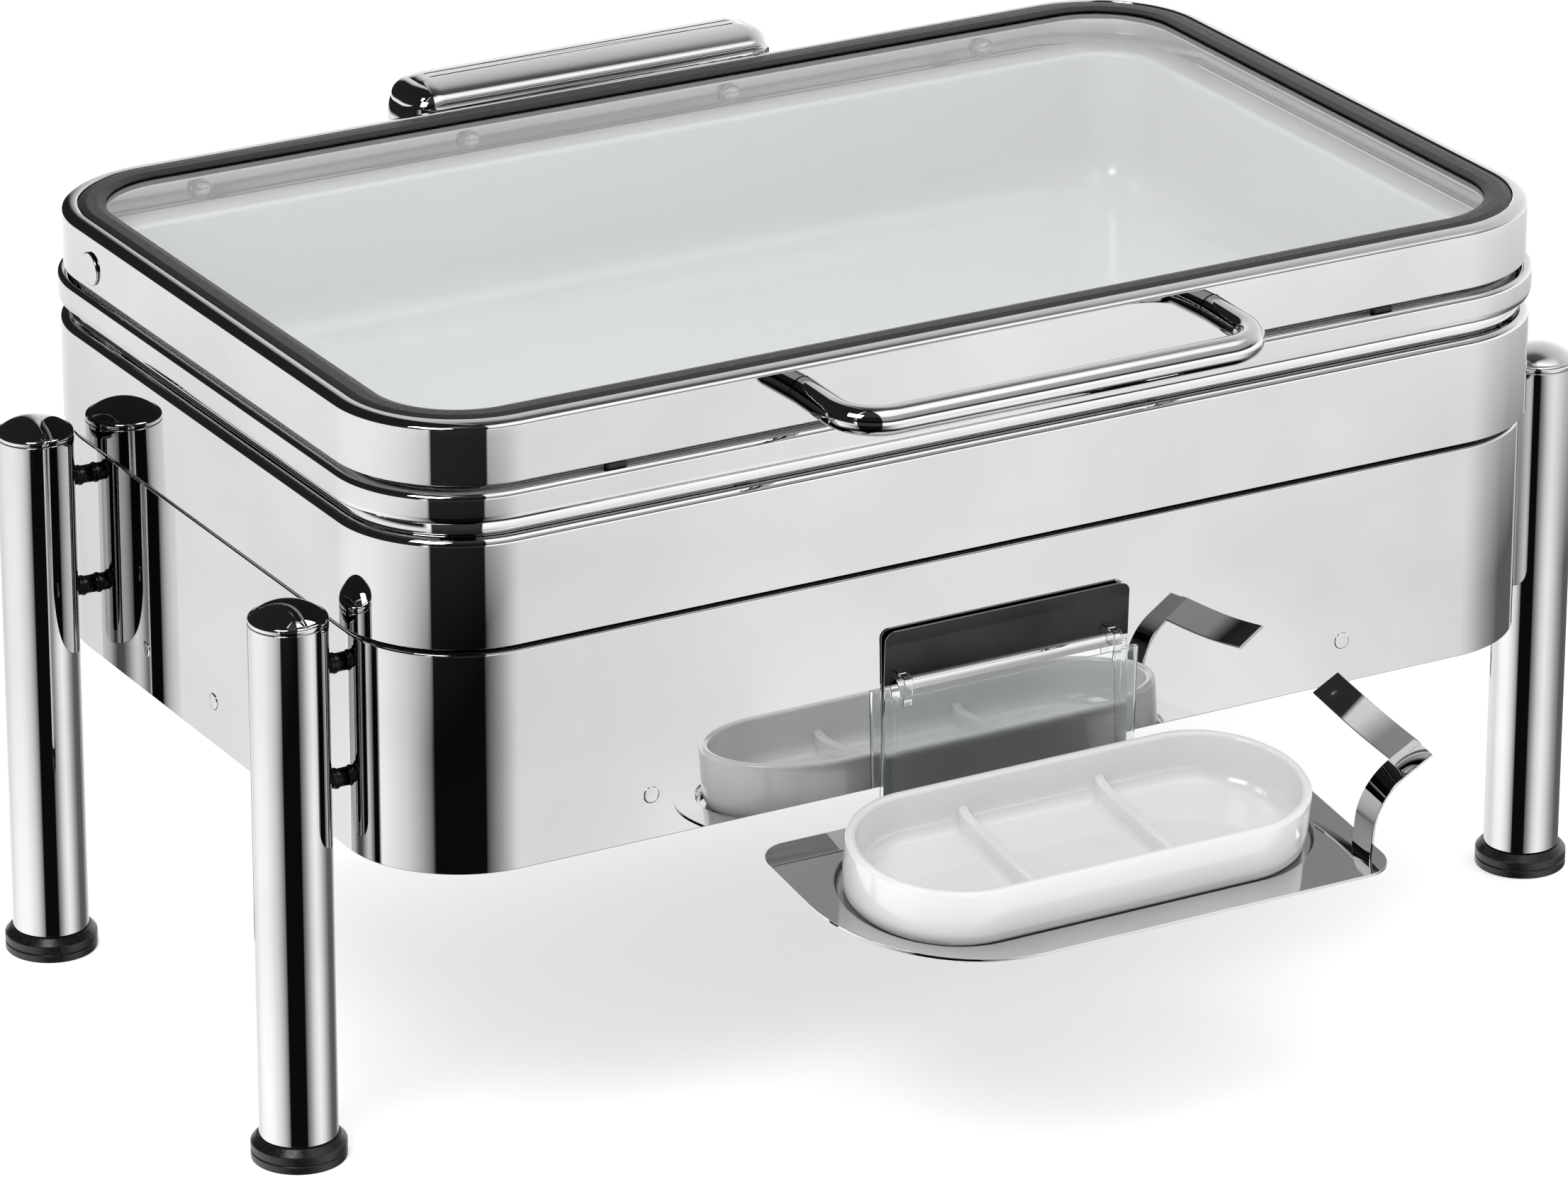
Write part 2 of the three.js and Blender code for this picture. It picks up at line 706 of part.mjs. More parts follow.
// The tray's outline: three small corners and one wide sweep at the front left.
function trayShape() {
  const quarter = Math.PI / 2;
  const { x, depth, small, wide } = TRAY;
  const shape = new THREE.Shape();
  shape.absarc(x - small, -depth + small, small, -quarter, 0);
  shape.absarc(x - small, -small, small, 0, quarter);
  shape.absarc(-x + small, -small, small, quarter, 2 * quarter);
  shape.absarc(-x + wide, -depth + wide, wide, 2 * quarter, 3 * quarter);
  return shape;
}

// The strip's upright leg: up from the tray's edge, round a bend, and on as a sloping shelf.
function ladleUpright() {
  const half = SHEET / 2;
  const turn = Math.PI / 2 - THREE.MathUtils.degToRad(LADLE.slope);
  const centreX = TRAY.x + LADLE.bend;
  const away = new THREE.Vector2(Math.sin(turn), Math.cos(turn)).multiplyScalar(LADLE.plateau);
  const onArc = (radius) => [
    centreX - radius * Math.cos(turn),
    LADLE.upright + radius * Math.sin(turn),
  ];
  const [outX, outZ] = onArc(LADLE.bend + half);
  const [inX, inZ] = onArc(LADLE.bend - half);
  const shape = new THREE.Shape();
  shape.moveTo(TRAY.x + half, -SHEET);
  shape.lineTo(TRAY.x + half, LADLE.upright);
  shape.absarc(centreX, LADLE.upright, LADLE.bend - half, Math.PI, Math.PI - turn, true);
  shape.lineTo(inX + away.x, inZ + away.y);
  shape.lineTo(outX + away.x, outZ + away.y);
  shape.lineTo(outX, outZ);
  shape.absarc(centreX, LADLE.upright, LADLE.bend + half, Math.PI - turn, Math.PI, false);
  shape.lineTo(TRAY.x - half, -SHEET);
  const basis = new THREE.Matrix4().makeBasis(
    new THREE.Vector3(1, 0, 0),
    new THREE.Vector3(0, 0, 1),
    new THREE.Vector3(0, -1, 0)
  );
  const leg = solid(extrude(shape, 0, LADLE.width).applyMatrix4(basis));
  return shifted(leg, 0, LADLE.y, 0);
}

// The strip's arm: from the shelf straight back, with a shallow sag for the ladle's handle.
function ladleArm() {
  const half = SHEET / 2;
  const turn = Math.PI / 2 - THREE.MathUtils.degToRad(LADLE.slope);
  const startX = TRAY.x + LADLE.bend * (1 - Math.cos(turn));
  const startZ = LADLE.upright + LADLE.bend * Math.sin(turn);
  const steps = 10;
  const dip = (step) => -LADLE.sag * Math.sin((Math.PI * step) / steps);
  const upper = [];
  const lower = [];
  for (let step = 0; step <= steps; step += 1) {
    const along = (LADLE.arm * step) / steps;
    upper.push([along, dip(step) + half]);
    lower.unshift([along, dip(step) - half]);
  }
  const shape = polygon([[-1, half], ...upper, ...lower, [-1, -half]]);
  const across = new THREE.Vector3(Math.sin(turn), 0, Math.cos(turn));
  const normal = new THREE.Vector3(-Math.cos(turn), 0, Math.sin(turn));
  const basis = new THREE.Matrix4().makeBasis(new THREE.Vector3(0, 1, 0), normal, across);
  const arm = solid(extrude(shape, 0, LADLE.plateau).applyMatrix4(basis));
  return shifted(arm, startX, LADLE.y, startZ);
}

function buildTray() {
  const well = stadium(WELL.radius);
  const plate = solid(extrude(trayShape(), -SHEET, 0, 5));
  const cup = block(inset(well, -SHEET), -WELL.depth - SHEET, 0);
  const hollow = block(well, -WELL.depth, 1);
  const sunk = plate.add(shifted(cup, 0, -DISH.v, 0)).subtract(shifted(hollow, 0, -DISH.v, 0));
  return sunk.add(ladleUpright()).add(ladleArm());
}

function buildDish() {
  const { radius, height, wall } = DISH;
  const outer = roundedBlock(stadium(radius), 0, height, { width: 3, height: 6, bottom: true });
  const hollow = roundedBlock(stadium(radius - wall), wall, height + 1, {
    width: 6,
    height: 8,
    bottom: true,
  });
  let dish = outer.subtract(hollow);
  const reach = radius - wall / 2;
  for (const [, across] of SIDES) {
    const x = across * DISH_RIB.x;
    const rib = [x - DISH_RIB.half, x + DISH_RIB.half, -reach, reach, wall - 1, wall + DISH_RIB.height];
    dish = dish.add(box(...rib));
  }
  return dish;
}

piece("spoon_tray", buildTray(), steel, bend);
const dish = piece("spoon_dish", buildDish(), porcelain, bend);
dish.position.set(0, -DISH.v, -WELL.depth + GAP);

// The bracket: a plate flat on the skirt, with a small hooked lip for the label pocket.
function buildBracket() {
  const front = BRACKET.back - SHEET;
  const middle = (BRACKET.bottom + BRACKET.top) / 2;
  const half = (BRACKET.top - BRACKET.bottom) / 2;
  const plateShape = roundedRect({ x: BRACKET.x, y: half, r: BRACKET.corner });
  const upright = new THREE.Matrix4()
    .makeTranslation(0, BRACKET.back, middle)
    .multiply(new THREE.Matrix4().makeRotationX(Math.PI / 2));
  const plate = solid(extrude(plateShape, 0, SHEET, 5).applyMatrix4(upright));
  const lip = polygon([
    [front + SHEET / 2, HOOK.z + 3.2],
    [front - 1.8, HOOK.z + 2.5],
    [front - 4, HOOK.z],
    [front - 4.8, HOOK.z + 0.8],
    [front - 2.4, HOOK.z + 3.5],
    [front + SHEET / 2, HOOK.z + 4.8],
  ]);
  return plate.add(sideProfile(lip, -HOOK.x, HOOK.x));
}

// The label pocket: a clear sheet with its edges folded round, and two tabs that hang on the lip.
function buildPocket() {
  const { x, height, depth, sheet, fold } = POCKET;
  const outline = polygon([
    [-x, 0],
    [-x, -depth],
    [x, -depth],
    [x, 0],
    [x - fold, 0],
    [x - fold, -sheet / 2],
    [x - sheet, -sheet / 2],
    [x - sheet, -depth + sheet],
    [-x + sheet, -depth + sheet],
    [-x + sheet, -sheet / 2],
    [-x + fold, -sheet / 2],
    [-x + fold, 0],
  ]);
  const lean = new THREE.Matrix4()
    .makeTranslation(0, BRACKET.back - SHEET - GAP, POCKET.z)
    .multiply(new THREE.Matrix4().makeRotationX(POCKET_LEAN));
  let pocket = solid(extrude(outline, 0, height).applyMatrix4(lean));
  const front = BRACKET.back - SHEET;
  const tab = polygon([
    [front - 3.9, HOOK.z - 6.4],
    [front - 4.5, HOOK.z - 6.8],
    [front - 6.1, HOOK.z - 0.9],
    [front - 6.1, HOOK.z + 6.6],
    [front - 0.5, HOOK.z + 6.6],
    [front - 0.5, HOOK.z + 5.8],
    [front - 5.3, HOOK.z + 5.8],
    [front - 5.3, HOOK.z - 0.6],
    [front - 3.9, HOOK.z - 4.4],
  ]);
  for (const [, across] of SIDES) {
    const middle = across * TAB.x;
    pocket = pocket.add(sideProfile(tab, middle - TAB.half, middle + TAB.half));
  }
  return pocket;
}

piece("holder_bracket", buildBracket(), steel);
piece("label_pocket", buildPocket(), acrylic);

export default model;
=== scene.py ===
import math

import bpy
from mathutils import Matrix, Vector
from mathutils.geometry import tessellate_polygon


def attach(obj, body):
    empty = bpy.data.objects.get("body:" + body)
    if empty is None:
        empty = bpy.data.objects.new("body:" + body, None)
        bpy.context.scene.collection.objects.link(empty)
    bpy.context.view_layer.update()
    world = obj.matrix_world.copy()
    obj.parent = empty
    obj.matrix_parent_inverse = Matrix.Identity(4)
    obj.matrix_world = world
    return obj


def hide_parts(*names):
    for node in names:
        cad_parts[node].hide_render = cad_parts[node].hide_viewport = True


# The looks of a chafing dish with a hinged glass lid, a four-legged stand and a spoon holder.
# Lengths below are in millimetres about the housing's centre line, as the CAD part has them.

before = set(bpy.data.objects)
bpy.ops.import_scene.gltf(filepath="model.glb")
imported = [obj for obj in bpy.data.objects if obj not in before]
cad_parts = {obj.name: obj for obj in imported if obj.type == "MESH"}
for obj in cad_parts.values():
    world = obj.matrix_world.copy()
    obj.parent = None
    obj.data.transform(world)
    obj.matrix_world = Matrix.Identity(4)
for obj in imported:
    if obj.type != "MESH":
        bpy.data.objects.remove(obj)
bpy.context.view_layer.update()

MM = 0.001
HOUSING_Y = 39.4  # the housing's centre behind the origin
GAP = 0.3
SHEET = 1.2
TIP = 0.05  # radius of the small flat face that ends a dome or disc
CAP_WEIGHT = 1000.0  # makes a capped edge take the cap's own direction

# Half length, half width and corner radius of each rounded rectangle, seen from above.
SKIRT = (270.5, 169.6, 50)
SHELL = (273, 172.1, 52.5)
RIM = (273.7, 172.8, 53.2)
LID = (272, 171, 54)
WATER_PAN = (259.5, 158.6, 39)
FOOD_PAN = (265, 162.5, 40)

SKIRT_Z = (129.5, 222.6)
REST_RING_Z = (222.9, 225)
SHELL_Z = (225.3, 277.4)
SHELL_SHOULDER = 271.5
RIM_Z = (277.7, 289.8)
BUMPER_Z = (290.1, 292.1)
BUMPER_AT = (177, 169)
LID_Z = (292.4, 318.1)
LID_WALL = 1.5
WATER_PAN_Z = (216, 291.3)
FOOD_PAN_Z = (231.6, 296.6)
LEDGE_Z = (309.7, 310.9)
GASKET_Z = (311.2, 318.4)
GLASS_Z = (312.7, 316.6)

LEG_X, LEG_Y, LEG_RADIUS = 293.1, 115.7, 16
FOOT_TOP, FOOT_RADIUS = 10, 19.4
CAP_JOINT = 229.6
STANDOFF_Z = {"lower": 159, "upper": 208}
STANDOFF_RADIUS = 3.75

SIDES = (("left", -1), ("right", 1))
ENDS = (("front", -1), ("back", 1))


# ---------------------------------------------------------------- surfaces

class Surface:
    """Vertices, their normals and faces, in millimetres, gathered into one mesh."""

    def __init__(self):
        self.points, self.normals, self.faces = [], [], []

    def add(self, points, normals, faces, place=None):
        start = len(self.points)
        if place is not None:
            turn = place.to_3x3()
            points = [place @ p for p in points]
            normals = [turn @ n for n in normals]
        self.points += points
        self.normals += [n.normalized() if n.length > 1e-9 else Vector((0, 0, 1)) for n in normals]
        self.faces += [tuple(start + k for k in face) for face in faces]
        return self


def show(name, surface, material, body, slot, *nodes):
    """Makes the surface a piece that rides on a body and stands for CAD nodes."""
    mesh = bpy.data.meshes.new(name)
    points = [(p.x * MM, (p.y + HOUSING_Y) * MM, p.z * MM) for p in surface.points]
    mesh.from_pydata(points, [], surface.faces)
    mesh.polygons.foreach_set("use_smooth", [True] * len(mesh.polygons))
    mesh.normals_split_custom_set_from_vertices([tuple(n) for n in surface.normals])
    mesh.materials.append(material)
    piece = bpy.data.objects.new(name, mesh)
    bpy.context.scene.collection.objects.link(piece)
    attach(piece, body)
    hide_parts(*nodes)
    return piece


def arc_outline(arcs, steps):
    """An outline of (point, outward direction) pairs from (centre x, y, radius, first angle) corners."""
    outline = []
    for x, y, radius, first in arcs:
        for step in range(steps + 1):
            angle = math.radians(first + 90 * step / steps)
            away = Vector((math.cos(angle), math.sin(angle)))
            point = Vector((x, y)) + away * radius
            if not outline or (outline[-1][0] - point).length > 1e-6:
                outline.append((point, away))
    if (outline[0][0] - outline[-1][0]).length < 1e-6:
        outline.pop()
    return outline


def rounded_rect(size, steps=20):
    x, y, r = size
    return arc_outline(
        [(x - r, r - y, r, -90), (x - r, y - r, r, 0), (r - x, y - r, r, 90), (r - x, r - y, r, 180)],
        steps,
    )


def circle(steps=48):
    """A turned piece's outline: its profile then gives the radius itself."""
    turns = [2 * math.pi * step / steps for step in range(steps)]
    return [(Vector((0, 0)), Vector((math.cos(t), math.sin(t)))) for t in turns]


def filleted(corners, closed=False, steps=4):
    """A profile of (outward, height) points from (outward, height, fillet radius) corners."""
    profile = []
    count = len(corners)
    for index, (out, height, radius) in enumerate(corners):
        here = Vector((out, height))
        at_end = not closed and index in (0, count - 1)
        if at_end or radius == 0:
            profile.append(here)
            continue
        before = Vector(corners[index - 1][:2]) - here
        after = Vector(corners[(index + 1) % count][:2]) - here
        half = before.angle(after) / 2
        reach = min(radius / math.tan(half), 0.48 * before.length, 0.48 * after.length)
        start = here + before.normalized() * reach
        end = here + after.normalized() * reach
        centre = here + (before.normalized() + after.normalized()).normalized() * (reach / math.cos(half))
        first, last = start - centre, end - centre
        sweep_angle = first.angle_signed(last)
        for step in range(steps + 1):
            turn = -sweep_angle * step / steps
            c, s = math.cos(turn), math.sin(turn)
            profile.append(centre + Vector((c * first.x - s * first.y, s * first.x + c * first.y)))
    return profile


def quarter(start, end, steps=8, flat_first=False):
    """A quarter ellipse between two profile points, leaving start upright, or flat if flat_first."""
    points = []
    for step in range(steps + 1):
        t = math.pi / 2 * step / steps
        quick, slow = math.sin(t), 1 - math.cos(t)
        out, rise = (quick, slow) if flat_first else (slow, quick)
        points.append(Vector((start[0] + (end[0] - start[0]) * out, start[1] + (end[1] - start[1]) * rise)))
    return points


def loft(surface, outline, profile, closed=False, caps=(False, False), place=None):
    """Carries a profile of (outward, height) points round an outline. The outside is to the right of
    the profile's direction. A cap closes the first or the last turn."""
    profile = [Vector(p) for p in profile]
    count, turns = len(outline), len(profile)
    edges = []
    for index in range(turns if closed else turns - 1):
        step = profile[(index + 1) % turns] - profile[index]
        edges.append(Vector((step.y, -step.x)))
    points, normals = [], []
    for index, spot in enumerate(profile):
        before = edges[index - 1] if closed or index > 0 else Vector((0, -CAP_WEIGHT * caps[0]))
        after = edges[index] if index < len(edges) else Vector((0, CAP_WEIGHT * caps[1]))
        normal = before + after
        for point, away in outline:
            ground = point + away * spot.x
            points.append(Vector((ground.x, ground.y, spot.y)))
            normals.append(Vector((away.x * normal.x, away.y * normal.x, normal.y)))
    faces = []
    for index in range(turns if closed else turns - 1):
        low, high = index * count, (index + 1) % turns * count
        for step in range(count):
            along = (step + 1) % count
            faces.append((low + step, low + along, high + along, high + step))
    if caps[0]:
        faces.append(tuple(reversed(range(count))))
    if caps[1]:
        faces.append(tuple(range((turns - 1) * count, turns * count)))
    return surface.add(points, normals, faces, place)


def skin(surface, rings, place=None):
    """Joins rings of (point, normal) pairs into a closed body with flat ends. Each ring runs
    anticlockwise when the next ring is towards the viewer."""
    count = len(rings[0])
    points = [point for ring in rings for point, _ in ring]
    normals = [normal for ring in rings for _, normal in ring]
    faces = []
    for index in range(len(rings) - 1):
        low, high = index * count, (index + 1) * count
        for step in range(count):
            along = (step + 1) % count
            faces.append((low + step, low + along, high + along, high + step))
    for ring, order in ((rings[0], -1), (rings[-1], 1)):
        start = len(points)
        middle = sum((point for point, _ in ring), Vector()) / count
        a, b = ring[0][0] - middle, ring[count // 3][0] - middle
        points += [point for point, _ in ring]
        normals += [a.cross(b) * order] * count
        faces.append(tuple(start + k for k in range(count))[::order])
    return surface.add(points, normals, faces, place)


def ring_at(centre, u, v, section):
    """A section's ring, laid out on directions u and v about a centre."""
    return [(centre + u * p.x + v * p.y, u * n.x + v * n.y) for p, n in section]


def turned(surface, profile, caps=(False, False), place=None, closed=False, steps=48):
    return loft(surface, circle(steps), profile, closed, caps, place)


def moved(x, y, z):
    return Matrix.Translation((x, y, z))


ALONG_X = Matrix.Rotation(math.pi / 2, 4, "Y")
ALONG_Y = Matrix.Rotation(-math.pi / 2, 4, "X")
FACING_SIDE = {-1: Matrix.Rotation(math.pi, 4, "Z"), 1: Matrix.Rotation(0, 4, "Z")}


# ---------------------------------------------------------------- materials

def new_material(name):
    material = bpy.data.materials.new(name)
    material.use_nodes = True
    tree = material.node_tree
    shader = tree.nodes["Principled BSDF"]
    place = tree.nodes.new("ShaderNodeTexCoord")
    return material, tree, shader, place.outputs["Object"]


def noise(tree, vector, scale, detail=3.0, stretch=None):
    node = tree.nodes.new("ShaderNodeTexNoise")
    node.inputs["Scale"].default_value = scale
    node.inputs["Detail"].default_value = detail
    if stretch:
        mapping = tree.nodes.new("ShaderNodeMapping")
        mapping.inputs["Scale"].default_value = stretch
        tree.links.new(vector, mapping.inputs["Vector"])
        vector = mapping.outputs["Vector"]
    tree.links.new(vector, node.inputs["Vector"])
    return node.outputs["Fac"]


def colour_between(tree, factor, low, high, target, span=(0.35, 0.65)):
    ramp = tree.nodes.new("ShaderNodeValToRGB")
    ramp.color_ramp.elements[0].position, ramp.color_ramp.elements[1].position = span
    ramp.color_ramp.elements[0].color = (*low, 1)
    ramp.color_ramp.elements[1].color = (*high, 1)
    tree.links.new(factor, ramp.inputs["Fac"])
    tree.links.new(ramp.outputs["Color"], target)


def value_between(tree, factor, low, high, target):
    spread = tree.nodes.new("ShaderNodeMapRange")
    spread.inputs["From Min"].default_value = 0.35
    spread.inputs["From Max"].default_value = 0.65
    spread.inputs["To Min"].default_value = low
    spread.inputs["To Max"].default_value = high
    tree.links.new(factor, spread.inputs["Value"])
    tree.links.new(spread.outputs["Result"], target)


def bump(tree, factor, strength, distance, shader):
    node = tree.nodes.new("ShaderNodeBump")
    node.inputs["Strength"].default_value = strength
    node.inputs["Distance"].default_value = distance
    tree.links.new(factor, node.inputs["Height"])
    tree.links.new(node.outputs["Normal"], shader.inputs["Normal"])


def polished_steel():
    """Mirror steel with the faintest cloudiness in its polish."""
    material, tree, shader, place = new_material("polished_steel")
    shader.inputs["Metallic"].default_value = 1.0
    clouds = noise(tree, place, 14.0)
    colour_between(tree, clouds, (0.62, 0.62, 0.615), (0.67, 0.67, 0.666), shader.inputs["Base Color"])
    value_between(tree, noise(tree, place, 55.0, 5.0), 0.006, 0.016, shader.inputs["Roughness"])
    return material


def painted_reflection_steel():
    """Painted reflection: steel coloured near black and slightly soft, standing for the dark reflection on
    the bracket's upper plate.
    """
    material, tree, shader, place = new_material("painted_reflection_steel")
    shader.inputs["Metallic"].default_value = 1.0
    clouds = noise(tree, place, 20.0)
    colour_between(tree, clouds, (0.018, 0.018, 0.019), (0.04, 0.04, 0.042), shader.inputs["Base Color"])
    value_between(tree, clouds, 0.12, 0.2, shader.inputs["Roughness"])
    return material


def satin_steel():
    """Brushed steel: fine lines along X."""
    material, tree, shader, place = new_material("satin_steel")
    shader.inputs["Metallic"].default_value = 1.0
    lines = noise(tree, place, 900.0, 4.0, stretch=(0.03, 1.0, 1.0))
    colour_between(tree, lines, (0.48, 0.48, 0.49), (0.62, 0.62, 0.63), shader.inputs["Base Color"])
    value_between(tree, lines, 0.26, 0.38, shader.inputs["Roughness"])
    bump(tree, lines, 0.15, 0.00005, shader)
    return material


def dark_material(name, low, high, roughness, grain):
    """A black moulded material with a fine grain."""
    material, tree, shader, place = new_material(name)
    speck = noise(tree, place, grain, 4.0)
    colour_between(tree, speck, (low,) * 3, (high,) * 3, shader.inputs["Base Color"])
    value_between(tree, speck, roughness, roughness + 0.1, shader.inputs["Roughness"])
    bump(tree, speck, 0.2, 0.0001, shader)
    return material


def glazed_porcelain(name, tone):
    material, tree, shader, place = new_material(name)
    cast = noise(tree, place, 9.0)
    low, high = (tone, tone * 1.012, tone * 1.02), (tone * 1.03, tone * 1.04, tone * 1.045)
    colour_between(tree, cast, low, high, shader.inputs["Base Color"])
    value_between(tree, cast, 0.10, 0.16, shader.inputs["Roughness"])
    shader.inputs["Coat Weight"].default_value = 0.5
    shader.inputs["Coat Roughness"].default_value = 0.03
    bump(tree, noise(tree, place, 30.0, 2.0), 0.05, 0.0006, shader)
    return material


def clear_material(name, low, high, ior):
    material, tree, shader, place = new_material(name)
    shader.inputs["Transmission Weight"].default_value = 1.0
    shader.inputs["IOR"].default_value = ior
    smear = noise(tree, place, 8.0, 2.0)
    colour_between(tree, smear, low, high, shader.inputs["Base Color"])
    value_between(tree, smear, 0.0, 0.02, shader.inputs["Roughness"])
    return material


STEEL = polished_steel()
# painted reflection: near-black steel for the dark look of the bracket's upper plate
PAINTED_REFLECTION_STEEL = painted_reflection_steel()
SATIN = satin_steel()
PLASTIC = dark_material("black_plastic", 0.006, 0.012, 0.24, 700.0)
RUBBER = dark_material("rubber", 0.006, 0.012, 0.40, 500.0)
# The same white porcelain in a shaded and a lit copy: the food pan's, under the glass lid, is painted
# darker as shade; the sauce dish's is lighter.
SHADED_PORCELAIN = glazed_porcelain("porcelain", 0.62)
LIT_PORCELAIN = glazed_porcelain("porcelain_lit", 0.74)
GLASS = clear_material("glass", (0.965, 0.982, 0.985), (0.975, 0.99, 0.992), 1.5)
ACRYLIC = clear_material("clear_acrylic", (0.95, 0.965, 0.97), (0.97, 0.98, 0.985), 1.49)


# ---------------------------------------------------------------- stand

STUD_Z, STUD_FRONT, STUD_SIDE = 148.5, 162, 62.6
STUD_PROFILE = [(3.6, -0.3), (3.6, 0), (3.45, 0.25), (3.15, 0.4), (2.6, 0.45), (TIP, 0.45)]


def make_skirt():
    surface = Surface()
    bottom, top = SKIRT_Z
    section = filleted([
        (-SHEET, bottom, 0.4),
        (0, bottom, 0.4),
        (0, top, 1.2),
        (-7.9, top, 0.4),
        (-7.9, top - SHEET, 0.4),
        (-SHEET, top - SHEET, 0.2),
    ], closed=True)
    loft(surface, rounded_rect(SKIRT, 24), section, closed=True)
    for _, side in SIDES:
        for _, end in ENDS:
            turn = Matrix.Rotation(end * math.pi / 2, 4, "Z")
            place = moved(side * STUD_FRONT, end * SKIRT[1], STUD_Z) @ turn @ ALONG_X
            turned(surface, STUD_PROFILE, (False, True), place, steps=32)
        for step in (-1, 0, 1):
            place = moved(side * SKIRT[0], step * STUD_SIDE, STUD_Z) @ FACING_SIDE[side] @ ALONG_X
            turned(surface, STUD_PROFILE, (False, True), place, steps=32)
    show("skirt_band", surface, STEEL, "stand", "polished_steel", "stand_skirt")


def make_rest_ring():
    low, high = REST_RING_Z
    section = filleted([(-7.9, low, 0.5), (-3, low, 0.5), (-3, high, 0.5), (-7.9, high, 0.5)], True, 3)
    surface = loft(Surface(), rounded_rect(SKIRT, 16), section, closed=True)
    show("rest_ring_seal", surface, RUBBER, "stand", "rubber", "rest_ring")


def tube_profile():
    low, high, r = FOOT_TOP + GAP, CAP_JOINT - GAP, LEG_RADIUS
    return filleted([(r - 1.5, low, 0.2), (r, low, 0.3), (r, high, 0.3), (r - 1.5, high, 0.2)], True, 2)


def cap_profile():
    """A plug, a short straight rim and a shallow dome."""
    low, r, bore = CAP_JOINT, LEG_RADIUS, LEG_RADIUS - 1.8
    rim = [(bore, low - 6), (bore, low), (r - 0.2, low), (r, low + 0.2)]
    shoulder = quarter((r, low + 1.2), (r - 1.4, low + 2.7), 5)
    dome_radius, apex = 22.6, low + 8.1
    widest = math.asin((r - 1.6) / dome_radius)
    dome = []
    for step in range(12):
        angle = widest * (1 - step / 12)
        dome.append((dome_radius * math.sin(angle), apex - dome_radius * (1 - math.cos(angle))))
    return rim + shoulder + dome + [(TIP, apex)]


def foot_profile():
    """A rounded bottom edge, a groove, a shoulder and a plug inside the tube."""
    r, joint = FOOT_RADIUS, LEG_RADIUS
    sole = [(r - 0.6, 0)] + quarter((r - 0.6, 0), (r, 0.6), 3, True)
    side = filleted([
        (r, 0, 0),
        (r, 3.2, 0.3),
        (r - 0.5, 3.6, 0.15),
        (r, 4.0, 0.3),
        (r, 7.2, 1.0),
        (joint + 0.9, FOOT_TOP, 0.4),
        (joint - 1.8, FOOT_TOP, 0.1),
        (joint - 1.8, FOOT_TOP + 12, 0.1),
        (TIP, FOOT_TOP + 12, 0),
    ])
    return sole + side[1:]


def standoff_profile():
    """From the skirt to the leg, with a thin raised ring in the middle, along the piece's own axis."""
    start, end = SKIRT[0] + GAP, LEG_X - LEG_RADIUS + 0.2
    middle, r = (start + end) / 2, STANDOFF_RADIUS
    return filleted([
        (r, start, 0),
        (r, middle - 0.8, 0.1),
        (r + 0.5, middle - 0.5, 0.2),
        (r + 0.5, middle + 0.5, 0.2),
        (r, middle + 0.8, 0.1),
        (r, end, 0),
    ])


def make_legs():
    tube, cap, foot, standoff = tube_profile(), cap_profile(), foot_profile(), standoff_profile()
    for end, toward in ENDS:
        for side, across in SIDES:
            at = f"{end}_{side}"
            place = moved(across * LEG_X, toward * LEG_Y, 0)
            leg = turned(Surface(), tube, place=place, closed=True, steps=96)
            show(f"tube_{at}", leg, STEEL, "stand", "polished_steel", f"leg_tube_{at}")
            top = turned(Surface(), cap, (True, True), place, steps=96)
            show(f"cap_{at}", top, STEEL, "stand", "polished_steel", f"leg_cap_{at}")
            base = turned(Surface(), foot, (True, True), place, steps=64)
            show(f"foot_{at}", base, PLASTIC, "stand", "black_plastic", f"leg_foot_{at}")
            for level, height in STANDOFF_Z.items():
                spot = moved(0, toward * LEG_Y, height) @ FACING_SIDE[across] @ ALONG_X
                spacer = turned(Surface(), standoff, (True, True), spot, steps=32)
                node = f"leg_standoff_{at}_{level}"
                show(f"spacer_{at}_{level}", spacer, PLASTIC, "stand", "black_plastic", node)


# ---------------------------------------------------------------- burners

BURNER_X, BURNER_RADIUS, BURNER_MOUTH = 120, 42, 30
POT_Z = (133.1, 190)
SNUFFER_PIVOT_Y, SNUFFER_PIN = 38, 3


def make_burner_pots():
    low, high = POT_Z
    profile = filleted([
        (BURNER_RADIUS - 4, low, 0),
        (BURNER_RADIUS, low, 2),
        (BURNER_RADIUS, high, 2),
        (BURNER_MOUTH, high, 0.5),
        (BURNER_MOUTH, high - SHEET, 0.5),
        (BURNER_RADIUS - SHEET, high - SHEET, 1),
        (BURNER_RADIUS - SHEET, low + SHEET, 1),
        (BURNER_RADIUS - 6, low + SHEET, 0),
    ])
    pin = [(SNUFFER_PIN, high - 0.6), (SNUFFER_PIN, high + 3.4), (SNUFFER_PIN - 0.4, high + 3.8)]
    for side, across in SIDES:
        place = moved(across * BURNER_X, 0, 0)
        surface = turned(Surface(), profile, (True, True), place)
        turned(surface, pin, (True, True), place @ moved(0, SNUFFER_PIVOT_Y, 0), steps=20)
        show(f"fuel_pot_{side}", surface, SATIN, "stand", "satin_steel", f"burner_pot_{side}")


# ---------------------------------------------------------------- basin

def make_shell():
    low, top = SHELL_Z
    shoulder = SHELL_SHOULDER
    outer = [(-6.2, low), (-0.5, low), (0, low + 0.5)] + quarter((0, shoulder - 3.5), (-4.4, shoulder), 10)
    neck = [(-4.9, shoulder + 0.3), (-5, shoulder + 1), (-5, top), (-6.2, top), (-6.2, shoulder - 1.4)]
    inner = [(-4.5, shoulder - 1.5), (-1.2, shoulder - 4.5), (-1.2, low + SHEET), (-6.2, low + SHEET)]
    surface = loft(Surface(), rounded_rect(SHELL, 24), outer + neck + inner, closed=True)
    show("shell_band", surface, STEEL, "basin", "polished_steel", "housing_shell")


